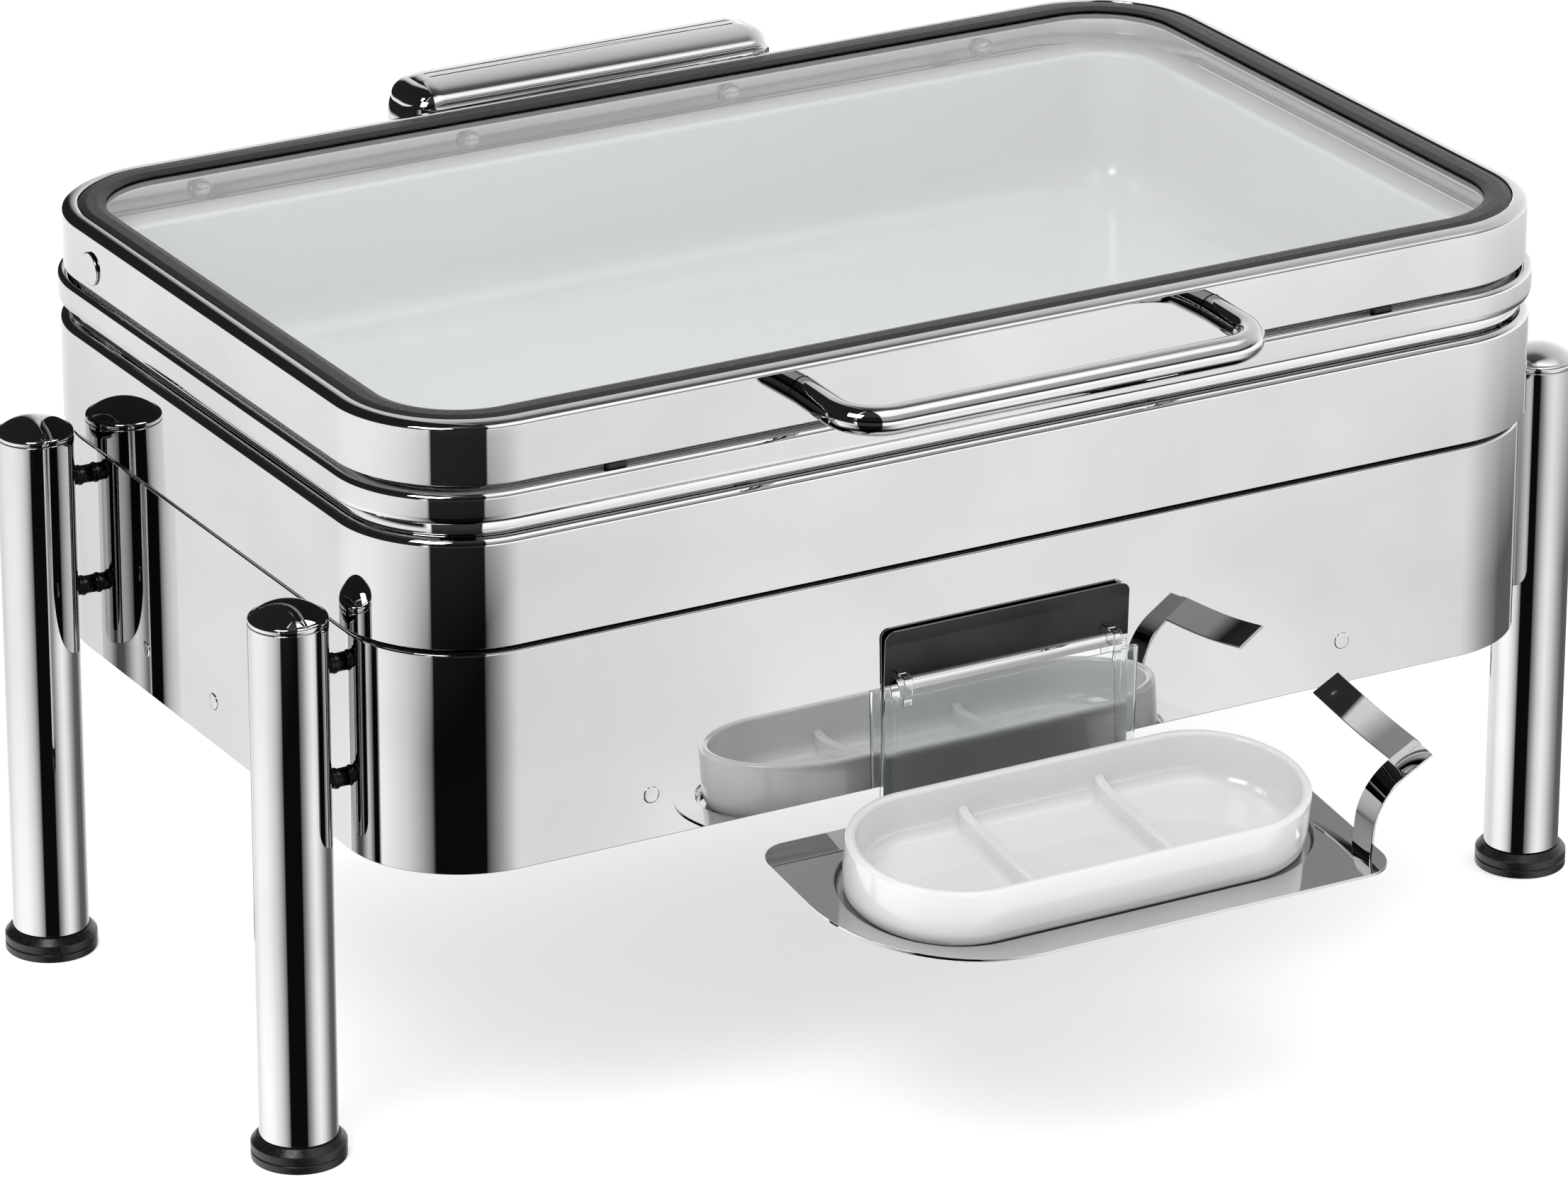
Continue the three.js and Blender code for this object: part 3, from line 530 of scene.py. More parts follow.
def make_rim():
    low, top = RIM_Z
    outer = [(-1.5, low), (-1, low)] + quarter((-1, low), (0, low + 3), 5, True)
    crown = quarter((0, top - 2.2), (-2.2, top), 8)
    inner = [(-11.6, top), (-12, top - 0.4), (-12, top - 1.5), (-1.5, top - 1.5)]
    surface = loft(Surface(), rounded_rect(RIM, 24), outer + crown + inner, closed=True)
    show("rim_band", surface, STEEL, "basin", "polished_steel", "basin_rim")


def make_water_pan():
    low, top = WATER_PAN_Z
    outer = quarter((-8, low), (0, low + 8), 6, True)
    flange = filleted([(0, 280, 0), (0, top - SHEET, 0.4), (4.5, top - SHEET, 0.3), (4.5, top, 0.3),
                       (-SHEET, top, 1), (-SHEET, 280, 0)])
    inner = quarter((-SHEET, low + 8), (-8.2, low + SHEET), 6)
    surface = loft(Surface(), rounded_rect(WATER_PAN, 16), outer + flange + inner, caps=(True, True))
    show("water_bath", surface, STEEL, "basin", "polished_steel", "water_pan")


def make_food_pan():
    low, top = FOOD_PAN_Z
    outer = quarter((-26, low), (-12, low + 20), 8, True)
    rim = filleted([(-12, top - 20, 0), (-12, top - 5, 1), (0, top - 5, 1), (0, top, 2),
                    (-16.2, top, 2.5), (-16.9, top - 8, 0)])
    inner = quarter((-19.5, low + 24), (-33, low + 4.5), 12)
    surface = loft(Surface(), rounded_rect(FOOD_PAN, 24), outer + rim + inner, caps=(True, True))
    show("food_dish", surface, SHADED_PORCELAIN, "basin", "porcelain", "food_pan")


def make_bumpers():
    low, high = BUMPER_Z
    profile = [(0, low)] + quarter((0, high - 0.7), (-0.7, high), 4)
    outline = rounded_rect((4.5, 2, 1.2), 5)
    for end, toward in ENDS:
        for side, across in SIDES:
            place = moved(across * BUMPER_AT[0], toward * BUMPER_AT[1], 0)
            surface = loft(Surface(), outline, profile, caps=(True, True), place=place)
            show(f"bumper_{end}_{side}", surface, RUBBER, "basin", "rubber", f"rim_bumper_{end}_{side}")


# ---------------------------------------------------------------- lid

GASKET_OUT = 6.6  # the gasket's outer edge inside the lid's
GASKET_LIP = 11.4


def make_lid_frame():
    low, top = LID_Z
    outer = filleted([(-1.5, low, 0.3), (0, low, 0.8), (0, top - 6, 0)])[1:]
    crown = quarter((0, top - 2.6), (-GASKET_OUT + GAP, top), 14)
    seat = -GASKET_OUT + GAP
    inner = filleted([(seat, top - 1, 0), (seat, LEDGE_Z[1], 0.2), (-17.6, LEDGE_Z[1], 0.3),
                      (-17.6, LEDGE_Z[0], 0.3), (-1.5, LEDGE_Z[0], 0.4), (-1.5, low, 0)])
    surface = loft(Surface(), rounded_rect(LID, 28), outer + crown + inner, closed=True)
    show("lid_band", surface, STEEL, "lid", "polished_steel", "lid_frame")


def make_gasket():
    low, top = GASKET_Z
    start, end, slot = -GASKET_OUT, -GASKET_OUT - GASKET_LIP, -GASKET_OUT - 2.8
    section = filleted([
        (end, low, 0.3),
        (start, low, 0.3),
        (start, top - 0.8, 1.0),
        (start - 3.5, top, 2.5),
        (end + 3.2, top, 2.5),
        (end, top - 0.9, 0.6),
        (end, GLASS_Z[1] + GAP, 0.2),
        (slot, GLASS_Z[1] + GAP, 0.1),
        (slot, GLASS_Z[0] - GAP, 0.1),
        (end, GLASS_Z[0] - GAP, 0.2),
    ], closed=True)
    surface = loft(Surface(), rounded_rect(LID, 28), section, closed=True)
    show("glass_seal", surface, RUBBER, "lid", "rubber", "lid_gasket")


def make_glass():
    low, top = GLASS_Z
    edge = -GASKET_OUT - 2.8 - GAP
    section = filleted([(edge - 2, low, 0), (edge, low, 0.6), (edge, top, 0.6), (edge - 2, top, 0)])
    surface = loft(Surface(), rounded_rect(LID, 28), section, caps=(True, True))
    pane = show("glass_pane", surface, GLASS, "lid", "glass", "lid_glass")
    pane.visible_shadow = False


HANDLE_X, HANDLE_REACH, HANDLE_Z, HANDLE_DROP = 94.5, 41, 306.5, 1.5
HANDLE_RADIUS, HANDLE_BEND = 6, 18


def handle_path():
    """Out from the lid, round a bend, across, and back."""
    root, bar = -LID[1] - GAP, -LID[1] - HANDLE_REACH
    path = []
    for side in (-1, 1):
        arm = [Vector((side * HANDLE_X, root, HANDLE_Z))]
        start = Vector((side * HANDLE_X, bar + HANDLE_BEND, HANDLE_Z - HANDLE_DROP / 2))
        corner = Vector((side * HANDLE_X, bar, HANDLE_Z - HANDLE_DROP))
        end = Vector((side * (HANDLE_X - HANDLE_BEND), bar, HANDLE_Z - HANDLE_DROP))
        for step in range(17):
            angle = math.pi / 2 * step / 16
            c, s = 1 - math.sin(angle), 1 - math.cos(angle)
            arm.append(corner + (start - corner) * c + (end - corner) * s)
        path += arm if side < 0 else arm[::-1]
    return path


def make_handle():
    surface = Surface()
    path = handle_path()
    section = [(n * HANDLE_RADIUS, n) for _, n in circle(32)]
    rings = []
    for index, spot in enumerate(path):
        ahead = path[min(index + 1, len(path) - 1)] - path[max(index - 1, 0)]
        forward = ahead.normalized()
        u = forward.cross(Vector((0, 0, 1))).normalized()
        rings.append(ring_at(spot, u, forward.cross(u), section))
    skin(surface, rings)
    show("handle_bar", surface, STEEL, "lid", "polished_steel", "lid_handle")


NUT_X, NUT_Z = (-190, -63.3, 63.3, 190), 299
LID_DISC_AT = (101.7, 302.4)  # the side discs' place in Y and Z


def dome_profile(radius, height):
    return [(radius, 0), (radius, height * 0.35)] + quarter((radius, height * 0.4), (TIP, height), 8)


def make_lid_fittings():
    for side, across in SIDES:
        inside = -LID[1] + LID_WALL + GAP
        screw = moved(across * HANDLE_X, inside, HANDLE_Z) @ ALONG_Y
        head = turned(Surface(), dome_profile(2.8, 2.4), (True, True), screw, steps=24)
        show(f"handle_fixing_{side}", head, SATIN, "lid", "satin_steel", f"handle_screw_{side}")
        turn = Matrix.Rotation(across * math.pi / 2, 4, "Y")
        disc = [(7, 0), (7, 0.45), (6.85, 0.7), (6.5, 0.8)]
        place = moved(across * (LID[0] + GAP), *LID_DISC_AT) @ turn
        stud = turned(Surface(), disc, (True, True), place, steps=48)
        show(f"lid_disc_{side}", stud, STEEL, "lid", "polished_steel", f"lid_stud_{side}")
    for index, x in enumerate(NUT_X):
        place = moved(x, LID[1] - LID_WALL - GAP, NUT_Z) @ Matrix.Rotation(math.pi / 2, 4, "X")
        nut = turned(Surface(), dome_profile(4.6, 5), (True, True), place, steps=32)
        show(f"cap_nut_{index + 1}", nut, STEEL, "lid", "polished_steel", f"hinge_nut_{index + 1}")


COVER_X, COVER_FRONT, COVER_BACK = 89.5, 168.5, 204.5
COVER_BOTTOM, COVER_TOP, COVER_LIP, COVER_WALL = 289, 327.5, 317.9, 1.5
COVER_CORNER = 15
CROWN_STEPS = 18
SIDE_CROWN, END_CROWN = (16.0, 7.5), (16.5, 17.0)  # width and height of the rounded top edge


def make_hinge_cover():
    """A cap whose top curves down gently to its sides and more deeply at its ends."""
    half = (COVER_BACK - COVER_FRONT) / 2
    middle = (COVER_FRONT + COVER_BACK) / 2
    ceiling = quarter((-10, COVER_TOP - COVER_WALL), (-COVER_WALL, COVER_TOP - 9), 8, True)
    edge = filleted([
        (-COVER_WALL, 300, 0),
        (-COVER_WALL, COVER_BOTTOM, 0.4),
        (0, COVER_BOTTOM, 0.5),
        (0, 300, 0),
    ])
    crown = quarter((0, COVER_TOP - END_CROWN[1]), (-END_CROWN[0], COVER_TOP), CROWN_STEPS)
    outline = rounded_rect((COVER_X, half, COVER_CORNER), 24)
    surface = loft(Surface(), outline, ceiling + edge + crown, caps=(True, True))
    start = len(outline) * len(ceiling + edge)
    for index in range(start, len(surface.points)):
        spot, away = outline[index % len(outline)]
        share = abs(away.x) ** 1.5
        width = SIDE_CROWN[0] + (END_CROWN[0] - SIDE_CROWN[0]) * share
        height = SIDE_CROWN[1] + (END_CROWN[1] - SIDE_CROWN[1]) * share
        angle = math.pi / 2 * (index // len(outline) - len(ceiling + edge)) / CROWN_STEPS
        ground = spot - away * width * (1 - math.cos(angle))
        surface.points[index] = Vector((ground.x, ground.y, COVER_TOP - height * (1 - math.sin(angle))))
        rise, lean = math.sin(angle) / height, math.cos(angle) / width
        surface.normals[index] = Vector((away.x * lean, away.y * lean, rise)).normalized()
    for point in surface.points:
        point.y += middle
        if point.y < LID[1] + 2.7:
            point.z = max(point.z, COVER_LIP)
    show("hinge_cap", surface, STEEL, "lid", "polished_steel", "hinge_cover")


# ---------------------------------------------------------------- spoon holder

TRAY_TILT = math.radians(8)
TRAY_X, TRAY_DEPTH, TRAY_Y, TRAY_Z, TRAY_SMALL, TRAY_WIDE = 117, 113, -171.4, 116, 13, 68
DISH_STRAIGHT, DISH_RADIUS, DISH_HEIGHT, DISH_WALL, DISH_V = 60.4, 41.6, 25, 4.4, 55.4
WELL_RADIUS, WELL_DEPTH = 44, 3.4
TRAY_PLACE = moved(0, TRAY_Y, TRAY_Z) @ Matrix.Rotation(TRAY_TILT, 4, "X")
DISH_PLACE = TRAY_PLACE @ moved(0, -DISH_V, -WELL_DEPTH + GAP)
LADLE_WIDTH, LADLE_Y, LADLE_BEND, LADLE_UPRIGHT = 13.5, -79.5, 28, 5.1
LADLE_SLOPE, LADLE_PLATEAU, LADLE_ARM, LADLE_SAG = 31.7, 13.7, 57.5, 2


def stadium(radius):
    return (DISH_STRAIGHT + radius, radius, radius)


def tray_outline():
    """Three small corners and one wide sweep at the front left."""
    x, depth, small, wide = TRAY_X, TRAY_DEPTH, TRAY_SMALL, TRAY_WIDE
    return arc_outline([
        (x - small, small - depth, small, -90),
        (x - small, -small, small, 0),
        (small - x, -small, small, 90),
        (wide - x, wide - depth, wide, 180),
    ], 20)


def flat_with_hole(surface, outer, hole, height, upward, place):
    """A flat face between two outlines, each given as points."""
    loops = [[Vector((p.x, p.y, 0)) for p in outer], [Vector((p.x, p.y, 0)) for p in hole]]
    points = [Vector((p.x, p.y, height)) for loop in loops for p in loop]
    faces = []
    for a, b, c in tessellate_polygon(loops):
        turn = (points[b] - points[a]).cross(points[c] - points[a]).z
        if abs(turn) > 1e-9:
            faces.append((a, b, c) if (turn > 0) == upward else (a, c, b))
    surface.add(points, [Vector((0, 0, 1 if upward else -1))] * len(points), faces, place)


def ladle_rings():
    """The strip's upright leg: up from the tray's edge, round a bend, and on as a sloping shelf."""
    turn = math.pi / 2 - math.radians(LADLE_SLOPE)
    centre = Vector((TRAY_X + LADLE_BEND, 0, LADLE_UPRIGHT))
    path = [(Vector((TRAY_X, 0, -SHEET)), 0), (Vector((TRAY_X, 0, 0)), 0)]
    for step in range(17):
        angle = turn * step / 16
        away = Vector((-math.cos(angle), 0, math.sin(angle)))
        path.append((centre + away * LADLE_BEND, angle))
    last, angle = path[-1]
    along = Vector((math.sin(angle), 0, math.cos(angle)))
    path.append((last + along * (LADLE_PLATEAU - 0.6), angle))
    section = rounded_rect((LADLE_WIDTH / 2, SHEET / 2, 0.35), 3)
    rings = []
    for spot, angle in path:
        across = Vector((0, 1, 0))
        outward = Vector((-math.cos(angle), 0, math.sin(angle)))
        centre_line = spot + Vector((0, LADLE_Y - LADLE_WIDTH / 2, 0))
        rings.append(ring_at(centre_line, across, outward, section))
    return rings, last, along, turn


def arm_rings(start, along, turn):
    """The strip's arm: from the shelf straight back, with a shallow sag for the ladle's handle."""
    normal = Vector((-math.cos(turn), 0, math.sin(turn)))
    section = rounded_rect((LADLE_PLATEAU / 2, SHEET / 2, 0.35), 3)
    rings = []
    steps = 24
    for step in range(-1, steps + 1):
        part = max(step, 0) / steps
        dip = -LADLE_SAG * math.sin(math.pi * part)
        reach = LADLE_ARM * part if step >= 0 else -LADLE_WIDTH / 3
        slope = math.atan2(-LADLE_SAG * math.pi * math.cos(math.pi * part), LADLE_ARM) if step >= 0 else 0
        centre = start + along * (LADLE_PLATEAU / 2) + Vector((0, LADLE_Y + reach, 0)) + normal * dip
        tilted = normal * math.cos(slope) - Vector((0, 1, 0)) * math.sin(slope)
        rings.append(ring_at(centre, along * -1, tilted, section))
    return rings


def make_tray():
    surface = Surface()
    outline, well = tray_outline(), rounded_rect(stadium(WELL_RADIUS), 24)
    hole = [p + n * 1.5 + Vector((0, -DISH_V)) for p, n in well]
    cup = [p + n * 2.4 + Vector((0, -DISH_V)) for p, n in well]
    flat_with_hole(surface, [p - n * 0.35 for p, n in outline], hole, 0, True, TRAY_PLACE)
    flat_with_hole(surface, [p - n * 0.35 for p, n in outline], cup, -SHEET, False, TRAY_PLACE)
    edge = filleted([(-0.35, -SHEET, 0), (0, -SHEET, 0.35), (0, 0, 0.35), (-0.35, 0, 0)])
    loft(surface, outline, edge, place=TRAY_PLACE)
    sunk = TRAY_PLACE @ moved(0, -DISH_V, 0)
    inside = filleted([(1.5, 0, 0), (0.2, 0, 1.2), (-0.2, -WELL_DEPTH, 1.4), (-3, -WELL_DEPTH, 0)])
    loft(surface, well, inside, caps=(False, True), place=sunk)
    floor = -WELL_DEPTH - SHEET
    under = filleted([(-3, floor, 0), (1, floor, 1), (1.2, -SHEET, 0.6), (2.4, -SHEET, 0)])
    loft(surface, well, under, caps=(True, False), place=sunk)
    rings, last, along, turn = ladle_rings()
    skin(surface, rings, TRAY_PLACE)
    skin(surface, arm_rings(last, along, turn), TRAY_PLACE)
    show("holder_tray", surface, STEEL, "spoon_holder", "polished_steel", "spoon_tray")


RIB_X, RIB_HALF, RIB_HEIGHT = 32, 2.2, 7.5
RIB_FOOT = 3.5  # radius of the hollow where the rib meets the floor


def rib_section():
    """Across a rib: a foot that spreads into the floor, a steep side and a round top."""
    half = filleted([
        (-RIB_HALF - RIB_FOOT - 1.5, 0, 0),
        (-RIB_HALF - 0.9, 0, RIB_FOOT),
        (-RIB_HALF + 0.1, RIB_HEIGHT, RIB_HALF),
        (0, RIB_HEIGHT, 0),
    ], steps=8)
    return [tuple(p) for p in half] + [(-p.x, p.y) for p in half[-2::-1]]


def make_dish():
    surface = Surface()
    outer = quarter((-3, 0), (0, 7), 8, True)
    lip = filleted([(0, DISH_HEIGHT - 6, 0), (0, DISH_HEIGHT, 1.7), (-DISH_WALL + 0.4, DISH_HEIGHT, 1.7),
                    (-DISH_WALL - 0.3, DISH_HEIGHT - 8, 0)])
    inner = quarter((-DISH_WALL - 0.8, DISH_WALL + 9), (-DISH_WALL - 10, DISH_WALL), 10)
    outline = rounded_rect(stadium(DISH_RADIUS), 28)
    loft(surface, outline, outer + lip + inner, caps=(True, True), place=DISH_PLACE)
    section = rib_section()
    reach = DISH_RADIUS - DISH_WALL
    for _, across in SIDES:
        points, normals, faces = [], [], []
        rows = 25
        for row in range(rows):
            y = -reach + 2 * reach * row / (rows - 1)
            lift = 3.0 * abs(2 * row / (rows - 1) - 1) ** 12
            for index, (x, z) in enumerate(section):
                before, after = section[max(index - 1, 0)], section[min(index + 1, len(section) - 1)]
                points.append(Vector((across * RIB_X + x, y, DISH_WALL - 0.3 + z + lift)))
                normals.append(Vector((before[1] - after[1], 0, after[0] - before[0])))
        width = len(section)
        for row in range(rows - 1):
            for index in range(width - 1):
                a = row * width + index
                faces.append((a, a + 1, a + 1 + width, a + width))
        surface.add(points, normals, faces, DISH_PLACE)
    show("sauce_dish", surface, LIT_PORCELAIN, "dish", "porcelain", "spoon_dish")


BRACKET_X, BRACKET_BACK, BRACKET_Z, BRACKET_CORNER = 57, -169.9, (114.6, 196.5), 4
HOOK_X, HOOK_Z = 52, 171.4
UPPER_LEAN, TOP_LEAN = math.radians(2), math.radians(5)
FOLD_Z, CREASE_Z = 173, 190.5
# thickness of the dark layer that paints a reflection onto the bracket's upper plate
PAINTED_REFLECTION_THICKNESS = 0.2


def bracket_path():
    """Heights, half widths and the plate's place in Y, from bottom to top, with its lean."""
    bottom, top = BRACKET_Z
    heights = []
    for step in range(6):
        angle = math.pi / 2 * step / 5
        heights.append((bottom + BRACKET_CORNER * (1 - math.cos(angle)), math.sin(angle)))
    heights += [(FOLD_Z - 0.6, 1), (FOLD_Z, 1), (FOLD_Z + 0.6, 1)]
    heights += [(CREASE_Z - 0.5, 1), (CREASE_Z, 1), (CREASE_Z + 0.5, 1)]
    for step in range(6):
        angle = math.pi / 2 * step / 5
        heights.append((top - BRACKET_CORNER * (1 - math.sin(angle)), math.cos(angle)))
    leans = [
        (0, 0.0),
        (FOLD_Z - 0.1, UPPER_LEAN / 2),
        (FOLD_Z + 0.1, UPPER_LEAN),
        (CREASE_Z - 0.1, (UPPER_LEAN + TOP_LEAN) / 2),
        (CREASE_Z + 0.1, TOP_LEAN),
    ]
    path = []
    y, previous = 0.0, bottom
    for height, share in heights:
        lean = [angle for start, angle in leans if height > start][-1]
        y -= math.tan(lean) * (height - previous)
        previous = height
        path.append((height, BRACKET_X - BRACKET_CORNER * (1 - share), y, lean))
    return path


def ribbon(surface, line, width, thickness, x=0.0):
    """A strip of sheet along a line of (y, z) points, width along X."""
    spots = [Vector((x, y, z)) for y, z in line]
    section = rounded_rect((width / 2, thickness / 2, min(0.3, thickness / 2.2)), 3)
    rings = []
    for index, spot in enumerate(spots):
        ahead = spots[min(index + 1, len(spots) - 1)] - spots[max(index - 1, 0)]
        forward = ahead.normalized()
        u = Vector((1, 0, 0))
        rings.append(ring_at(spot, u, forward.cross(u), section))
    skin(surface, rings)


def plate_rings(path, middle, thickness):
    rings = []
    for height, half, shift, lean in path:
        section = rounded_rect((half, thickness / 2, thickness / 4), 3)
        ring = ring_at(Vector((0, middle + shift, height)), Vector((1, 0, 0)), Vector((0, 1, 0)), section)
        rings.append([(point, Vector((n.x, n.y, n.y * math.tan(lean)))) for point, n in ring])
    return rings


def make_bracket():
    surface = Surface()
    skin(surface, plate_rings(bracket_path(), BRACKET_BACK - SHEET / 2, SHEET))
    front = BRACKET_BACK - SHEET
    hook = [(front + 0.6, HOOK_Z + 4.2), (front - 1.2, HOOK_Z + 3.8), (front - 2.4, HOOK_Z + 2.8),
            (front - 3.4, HOOK_Z + 1.6), (front - 4.4, HOOK_Z + 0.4)]
    ribbon(surface, hook, 2 * HOOK_X, 0.9)
    show("sign_bracket", surface, STEEL, "spoon_holder", "polished_steel", "holder_bracket")


def make_bracket_painted_reflection():
    """A thin dark layer on the plate above the lip: a painted reflection, not a part of the bracket."""
    path = [station for station in bracket_path() if station[0] > FOLD_Z + 0.5]
    face = Surface()
    skin(face, plate_rings(path, BRACKET_BACK - SHEET - PAINTED_REFLECTION_THICKNESS / 2, PAINTED_REFLECTION_THICKNESS))
    show("bracket_painted_reflection", face, PAINTED_REFLECTION_STEEL, "spoon_holder", "polished_steel", "holder_bracket")


POCKET_X, POCKET_HEIGHT, POCKET_Z, POCKET_DEPTH, POCKET_FOLD = 59.5, 48.5, 121, 2.2, 7
POCKET_LEAN = math.radians(2.5)
POCKET_SHEET = 0.8
POCKET_TAB_X = 49


def sheet_section(line, thickness):
    """The closed section of a bent sheet about its middle line."""
    near, far = [], []
    for index, spot in enumerate(line):
        ahead = (line[min(index + 1, len(line) - 1)] - line[max(index - 1, 0)]).normalized()
        side = Vector((ahead.y, -ahead.x))
        near.append((spot + side * thickness / 2, side))
        far.append((spot - side * thickness / 2, -side))
    return near + far[::-1]


def make_pocket():
    surface = Surface()
    x, depth, t = POCKET_X, POCKET_DEPTH, POCKET_SHEET
    line = filleted([
        (-x + POCKET_FOLD, -t / 2, 0),
        (-x + t / 2, -t / 2, 0.8),
        (-x + t / 2, -depth - 0.2, 0.8),
        (x - t / 2, -depth - 0.2, 0.8),
        (x - t / 2, -t / 2, 0.8),
        (x - POCKET_FOLD, -t / 2, 0),
    ], steps=6)
    section = sheet_section(line, t)
    lean = moved(0, BRACKET_BACK - SHEET - GAP, POCKET_Z) @ Matrix.Rotation(POCKET_LEAN, 4, "X")
    u, v = Vector((1, 0, 0)), Vector((0, 1, 0))
    rings = [ring_at(Vector((0, 0, h)), u, v, section) for h in (0, POCKET_HEIGHT)]
    count = len(section)
    points = [p for ring in rings for p, _ in ring]
    normals = [n for ring in rings for _, n in ring]
    faces = [(k, (k + 1) % count, count + (k + 1) % count, count + k) for k in range(count)]
    half = count // 2
    for k in range(half - 1):
        low = (k, count - 1 - k, count - 2 - k, k + 1)
        faces.append(low)
        faces.append(tuple(count + i for i in reversed(low)))
    surface.add(points, normals, faces, lean)
    front = BRACKET_BACK - SHEET
    tab = [(front - 4.2, HOOK_Z - 6.4), (front - 4.7, HOOK_Z - 3.5), (front - 5.6, HOOK_Z - 0.8),
           (front - 5.7, HOOK_Z + 5.0), (front - 5.2, HOOK_Z + 6.0), (front - 0.6, HOOK_Z + 6.2)]
    for _, across in SIDES:
        ribbon(surface, tab, 4, POCKET_SHEET, across * POCKET_TAB_X)
    piece = show("card_pocket", surface, ACRYLIC, "pocket", "clear_acrylic", "label_pocket")
    piece.visible_shadow = False


# ---------------------------------------------------------------- carried CAD nodes

def paint_carried_nodes():
    satin = ["hinge_bracket", "hinge_pin", "hinge_leaf"]
    for side, _ in SIDES:
        satin += [f"burner_rail_{side}", f"burner_snuffer_{side}"]
    for material, nodes in ((SATIN, satin), (PLASTIC, ["hinge_damper"])):
        for name in nodes:
            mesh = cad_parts[name].data
            mesh.materials.clear()
            mesh.materials.append(material)


# ---------------------------------------------------------------- stage, light and camera

def linear(shown):
    """A linear value from a display value."""
    return ((shown + 0.055) / 1.055) ** 2.4 if shown > 0.04045 else shown / 12.92


def grey_ramp(tree, factor, stops):
    """A ramp through (position from 0 to 1, display value) stops."""
    node = tree.nodes.new("ShaderNodeValToRGB")
    elements = node.color_ramp.elements
    while len(elements) > 1:
        elements.remove(elements[-1])
    for index, (position, shown) in enumerate(stops):
        element = elements[0] if index == 0 else elements.new(position)
        element.position = position
        element.color = (*(linear(shown),) * 3, 1)
    tree.links.new(factor, node.inputs["Fac"])
    return node.outputs["Color"]


def math_node(tree, operation, *inputs):
    node = tree.nodes.new("ShaderNodeMath")
    node.operation = operation
    for index, value in enumerate(inputs):
        if isinstance(value, (int, float)):
            node.inputs[index].default_value = value
        else:
            tree.links.new(value, node.inputs[index])
    return node.outputs[0]


STUDIO_RADIUS = 1.43
STUDIO_STRENGTH = 1.7
STUDIO_FADE = 12  # degrees below the horizon where STUDIO_OVERHEAD begins to take over
# The studio that reflections see: (degrees round from +X, brightness) below the horizon.
STUDIO_ROUND = [
    (-180, 0.90), (-165, 0.80), (-155, 0.66), (-146, 0.42), (-144, 0.04), (-104, 0.04), (-102, 0.31),
    (-97, 0.45), (-90, 0.58), (-84, 0.69), (-78, 0.78), (-66, 0.87), (-60, 0.89), (-45, 0.80),
    (-28, 0.60), (-8, 0.34), (20, 0.32), (40, 0.6), (56, 0.76), (80, 0.83), (120, 0.82), (135, 0.90),
    (150, 0.94), (170, 0.94), (180, 0.90),
]
# (degrees up, brightness) of the studio: in front, to the left and behind the object.
STUDIO_BELOW = [
    (-90, 0.72), (-66, 0.70), (-60, 0.14), (-44, 0.12), (-37, 0.6), (-31, 0.97), (-20, 1.0), (-14, 0.96),
]
STUDIO_FRONT = STUDIO_BELOW + [
    (-6, 0.90), (1, 0.90), (5, 0.97), (13, 0.97), (17, 0.2), (23, 0.12), (29, 0.56), (46, 0.60), (53, 0.93),
    (78, 0.97), (86, 0.2),
]
STUDIO_LEFT = STUDIO_BELOW + [(-7, 0.90), (-2, 0.88), (3, 0.12), (90, 0.10)]
STUDIO_BACK = STUDIO_BELOW + [
    (0, 0.9), (20, 0.84), (35, 0.76), (48, 0.70), (58, 0.62), (68, 0.3), (90, 0.12),
]
# Where round the studio each of the last two holds: (degrees round, share).
LEFT_SHARE = [(-180, 1), (-150, 1), (-146, 0), (78, 0), (88, 1)]
BACK_SHARE = [(-30, 0), (0, 1), (78, 1), (88, 0)]
# Light from above the horizon, with a dark gap to the left of the front.
STUDIO_OVERHEAD = [(-180, 1), (-145, 1), (-144, 0.2), (-104, 0.2), (-103, 1)]


MIX_FIRST, MIX_SECOND, MIX_RESULT = 6, 7, 2  # a Mix node's colour sockets, which share their names


def mix_node(tree, blend, factor, first, second):
    node = tree.nodes.new("ShaderNodeMix")
    node.data_type = "RGBA"
    node.blend_type = blend
    if isinstance(factor, float):
        node.inputs["Factor"].default_value = factor
    else:
        tree.links.new(factor, node.inputs["Factor"])
    tree.links.new(first, node.inputs[MIX_FIRST])
    tree.links.new(second, node.inputs[MIX_SECOND])
    return node.outputs[MIX_RESULT]


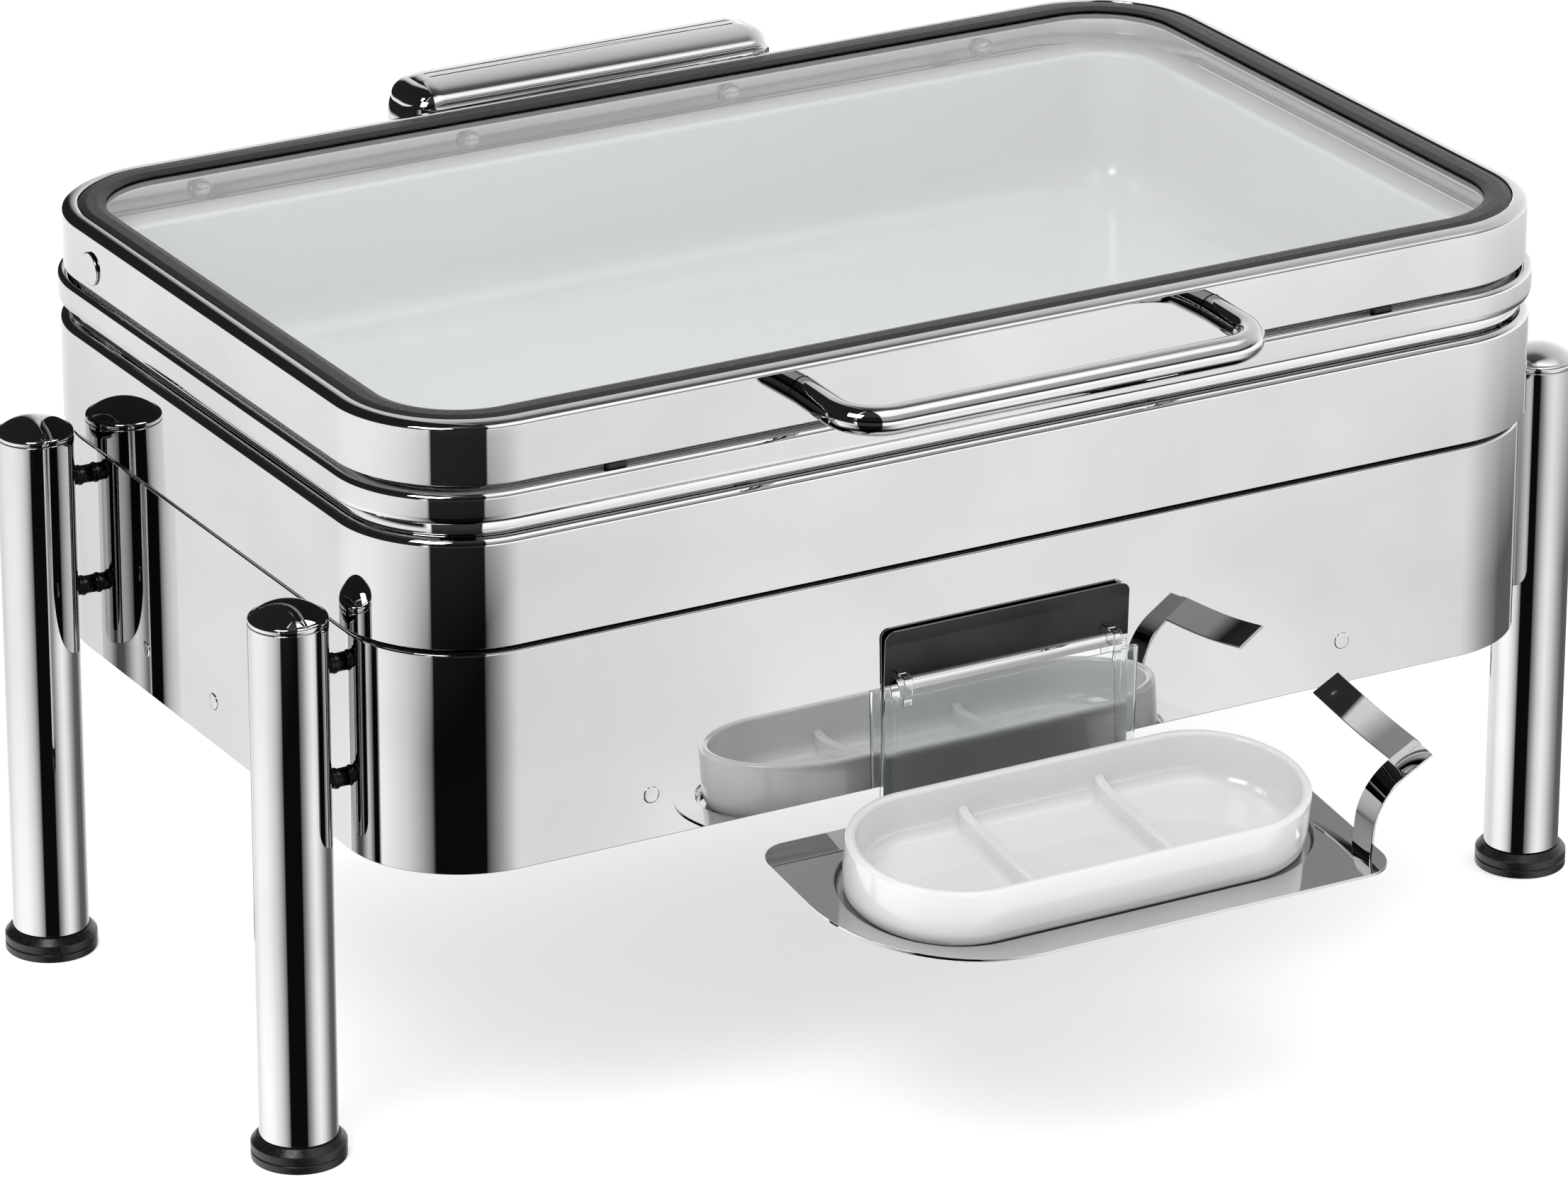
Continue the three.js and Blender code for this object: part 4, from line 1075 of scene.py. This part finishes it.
def studio_material():
    material = bpy.data.materials.new("studio")
    material.use_nodes = True
    tree = material.node_tree
    tree.nodes.clear()
    place = tree.nodes.new("ShaderNodeTexCoord")
    axes = tree.nodes.new("ShaderNodeSeparateXYZ")
    tree.links.new(place.outputs["Object"], axes.inputs[0])
    x, y, z = axes.outputs
    angle = math_node(tree, "ARCTAN2", y, x)
    round_part = math_node(tree, "MULTIPLY_ADD", angle, 1 / (2 * math.pi), 0.5)
    up = math_node(tree, "ARCSINE", math_node(tree, "DIVIDE", z, STUDIO_RADIUS))
    up_part = math_node(tree, "MULTIPLY_ADD", up, 1 / math.pi, 0.5)

    def round_ramp(stops):
        return grey_ramp(tree, round_part, [((degrees + 180) / 360, value) for degrees, value in stops])

    def up_ramp(stops):
        return grey_ramp(tree, up_part, [((degrees + 90) / 180, value) for degrees, value in stops])

    above = math_node(tree, "MULTIPLY_ADD", up, 180 / math.pi / STUDIO_FADE, 1.0)
    sides = mix_node(tree, "MIX", above, round_ramp(STUDIO_ROUND), round_ramp(STUDIO_OVERHEAD))
    heights = mix_node(tree, "MIX", round_ramp(LEFT_SHARE), up_ramp(STUDIO_FRONT), up_ramp(STUDIO_LEFT))
    heights = mix_node(tree, "MIX", round_ramp(BACK_SHARE), heights, up_ramp(STUDIO_BACK))
    emission = tree.nodes.new("ShaderNodeEmission")
    emission.inputs["Strength"].default_value = STUDIO_STRENGTH
    tree.links.new(mix_node(tree, "MULTIPLY", 1.0, sides, heights), emission.inputs["Color"])
    output = tree.nodes.new("ShaderNodeOutputMaterial")
    tree.links.new(emission.outputs[0], output.inputs["Surface"])
    material.cycles.emission_sampling = "NONE"
    return material


def make_studio():
    """A round room that only reflections see."""
    points = []
    rows, columns = 48, 96
    for row in range(rows + 1):
        angle = math.pi * (row / rows - 0.5)
        radius, height = STUDIO_RADIUS * math.cos(angle), STUDIO_RADIUS * math.sin(angle)
        for column in range(columns):
            turn = 2 * math.pi * column / columns
            points.append((radius * math.cos(turn), radius * math.sin(turn), height))
    faces = []
    for row in range(rows):
        for column in range(columns):
            along = (column + 1) % columns
            a, b = row * columns, (row + 1) * columns
            faces.append((a + column, b + column, b + along, a + along))
    mesh = bpy.data.meshes.new("studio_room")
    mesh.from_pydata(points, [], faces)
    mesh.materials.append(studio_material())
    room = bpy.data.objects.new("studio_room", mesh)
    bpy.context.scene.collection.objects.link(room)
    room.visible_camera = room.visible_diffuse = room.visible_shadow = False


FLOOR_HALF, FLOOR_GLOW, AIR_STRENGTH = 8.0, 0.5, 0.82


def make_floor():
    material, tree, shader, place = new_material("floor_paper")
    paper = noise(tree, place, 3.0)
    colour_between(tree, paper, (0.90, 0.90, 0.90), (0.92, 0.92, 0.92), shader.inputs["Base Color"])
    shader.inputs["Roughness"].default_value = 0.9
    shader.inputs["Specular IOR Level"].default_value = 0.1
    shader.inputs["Emission Color"].default_value = (1, 1, 1, 1)
    shader.inputs["Emission Strength"].default_value = FLOOR_GLOW
    half = FLOOR_HALF
    mesh = bpy.data.meshes.new("floor")
    corners = [(-half, -half, 0), (half, -half, 0), (half, half, 0), (-half, half, 0)]
    mesh.from_pydata(corners, [], [(0, 1, 2, 3)])
    mesh.materials.append(material)
    floor = bpy.data.objects.new("floor", mesh)
    bpy.context.scene.collection.objects.link(floor)
    floor.visible_glossy = False


def make_lights():
    world = bpy.data.worlds.new("studio_air")
    bpy.context.scene.world = world
    world.use_nodes = True
    world.node_tree.nodes["Background"].inputs["Color"].default_value = (1, 1, 1, 1)
    world.node_tree.nodes["Background"].inputs["Strength"].default_value = AIR_STRENGTH
    for name, spot, size, power, mirrored in (
        ("softbox_left", (-0.74, -0.42, 1.02), 0.42, 3.5, True),
        ("softbox_back", (0.9, 1.5, 1.8), 1.0, 5.0, False),
        ("softbox_top", (0.0, 0.1, 2.2), 1.8, 18.0, False),
    ):
        light = bpy.data.lights.new(name, "AREA")
        light.size = size
        light.energy = power
        lamp = bpy.data.objects.new(name, light)
        lamp.location = spot
        lamp.rotation_euler = (Vector((0, 0, 0.2)) - Vector(spot)).to_track_quat("-Z", "Y").to_euler()
        lamp.visible_glossy = mirrored
        bpy.context.scene.collection.objects.link(lamp)


CAMERA_AT = Vector((-1.6484, -2.8398, 1.4912))
CAMERA_TARGET = Vector((-0.0053, 0.0394, 0.1449))
CAMERA_ROLL = math.radians(0.12)


def make_camera():
    data = bpy.data.cameras.new("camera")
    data.lens = 196.35
    data.sensor_width = 36
    data.clip_end = 50
    camera = bpy.data.objects.new("camera", data)
    forward = (CAMERA_TARGET - CAMERA_AT).normalized()
    right = forward.cross(Vector((0, 0, 1))).normalized()
    up = right.cross(forward)
    c, s = math.cos(CAMERA_ROLL), math.sin(CAMERA_ROLL)
    right, up = right * c + up * s, up * c - right * s
    matrix = Matrix((right, up, -forward)).transposed().to_4x4()
    matrix.translation = CAMERA_AT
    camera.matrix_world = matrix
    bpy.context.scene.collection.objects.link(camera)
    bpy.context.scene.camera = camera
    bpy.context.scene.view_settings.view_transform = "Standard"


make_skirt()
make_rest_ring()
make_legs()
make_burner_pots()
make_shell()
make_rim()
make_water_pan()
make_food_pan()
make_bumpers()
make_lid_frame()
make_gasket()
make_glass()
make_handle()
make_lid_fittings()
make_hinge_cover()
make_tray()
make_dish()
make_bracket()
make_bracket_painted_reflection()
make_pocket()
paint_carried_nodes()
make_studio()
make_floor()
make_lights()
make_camera()
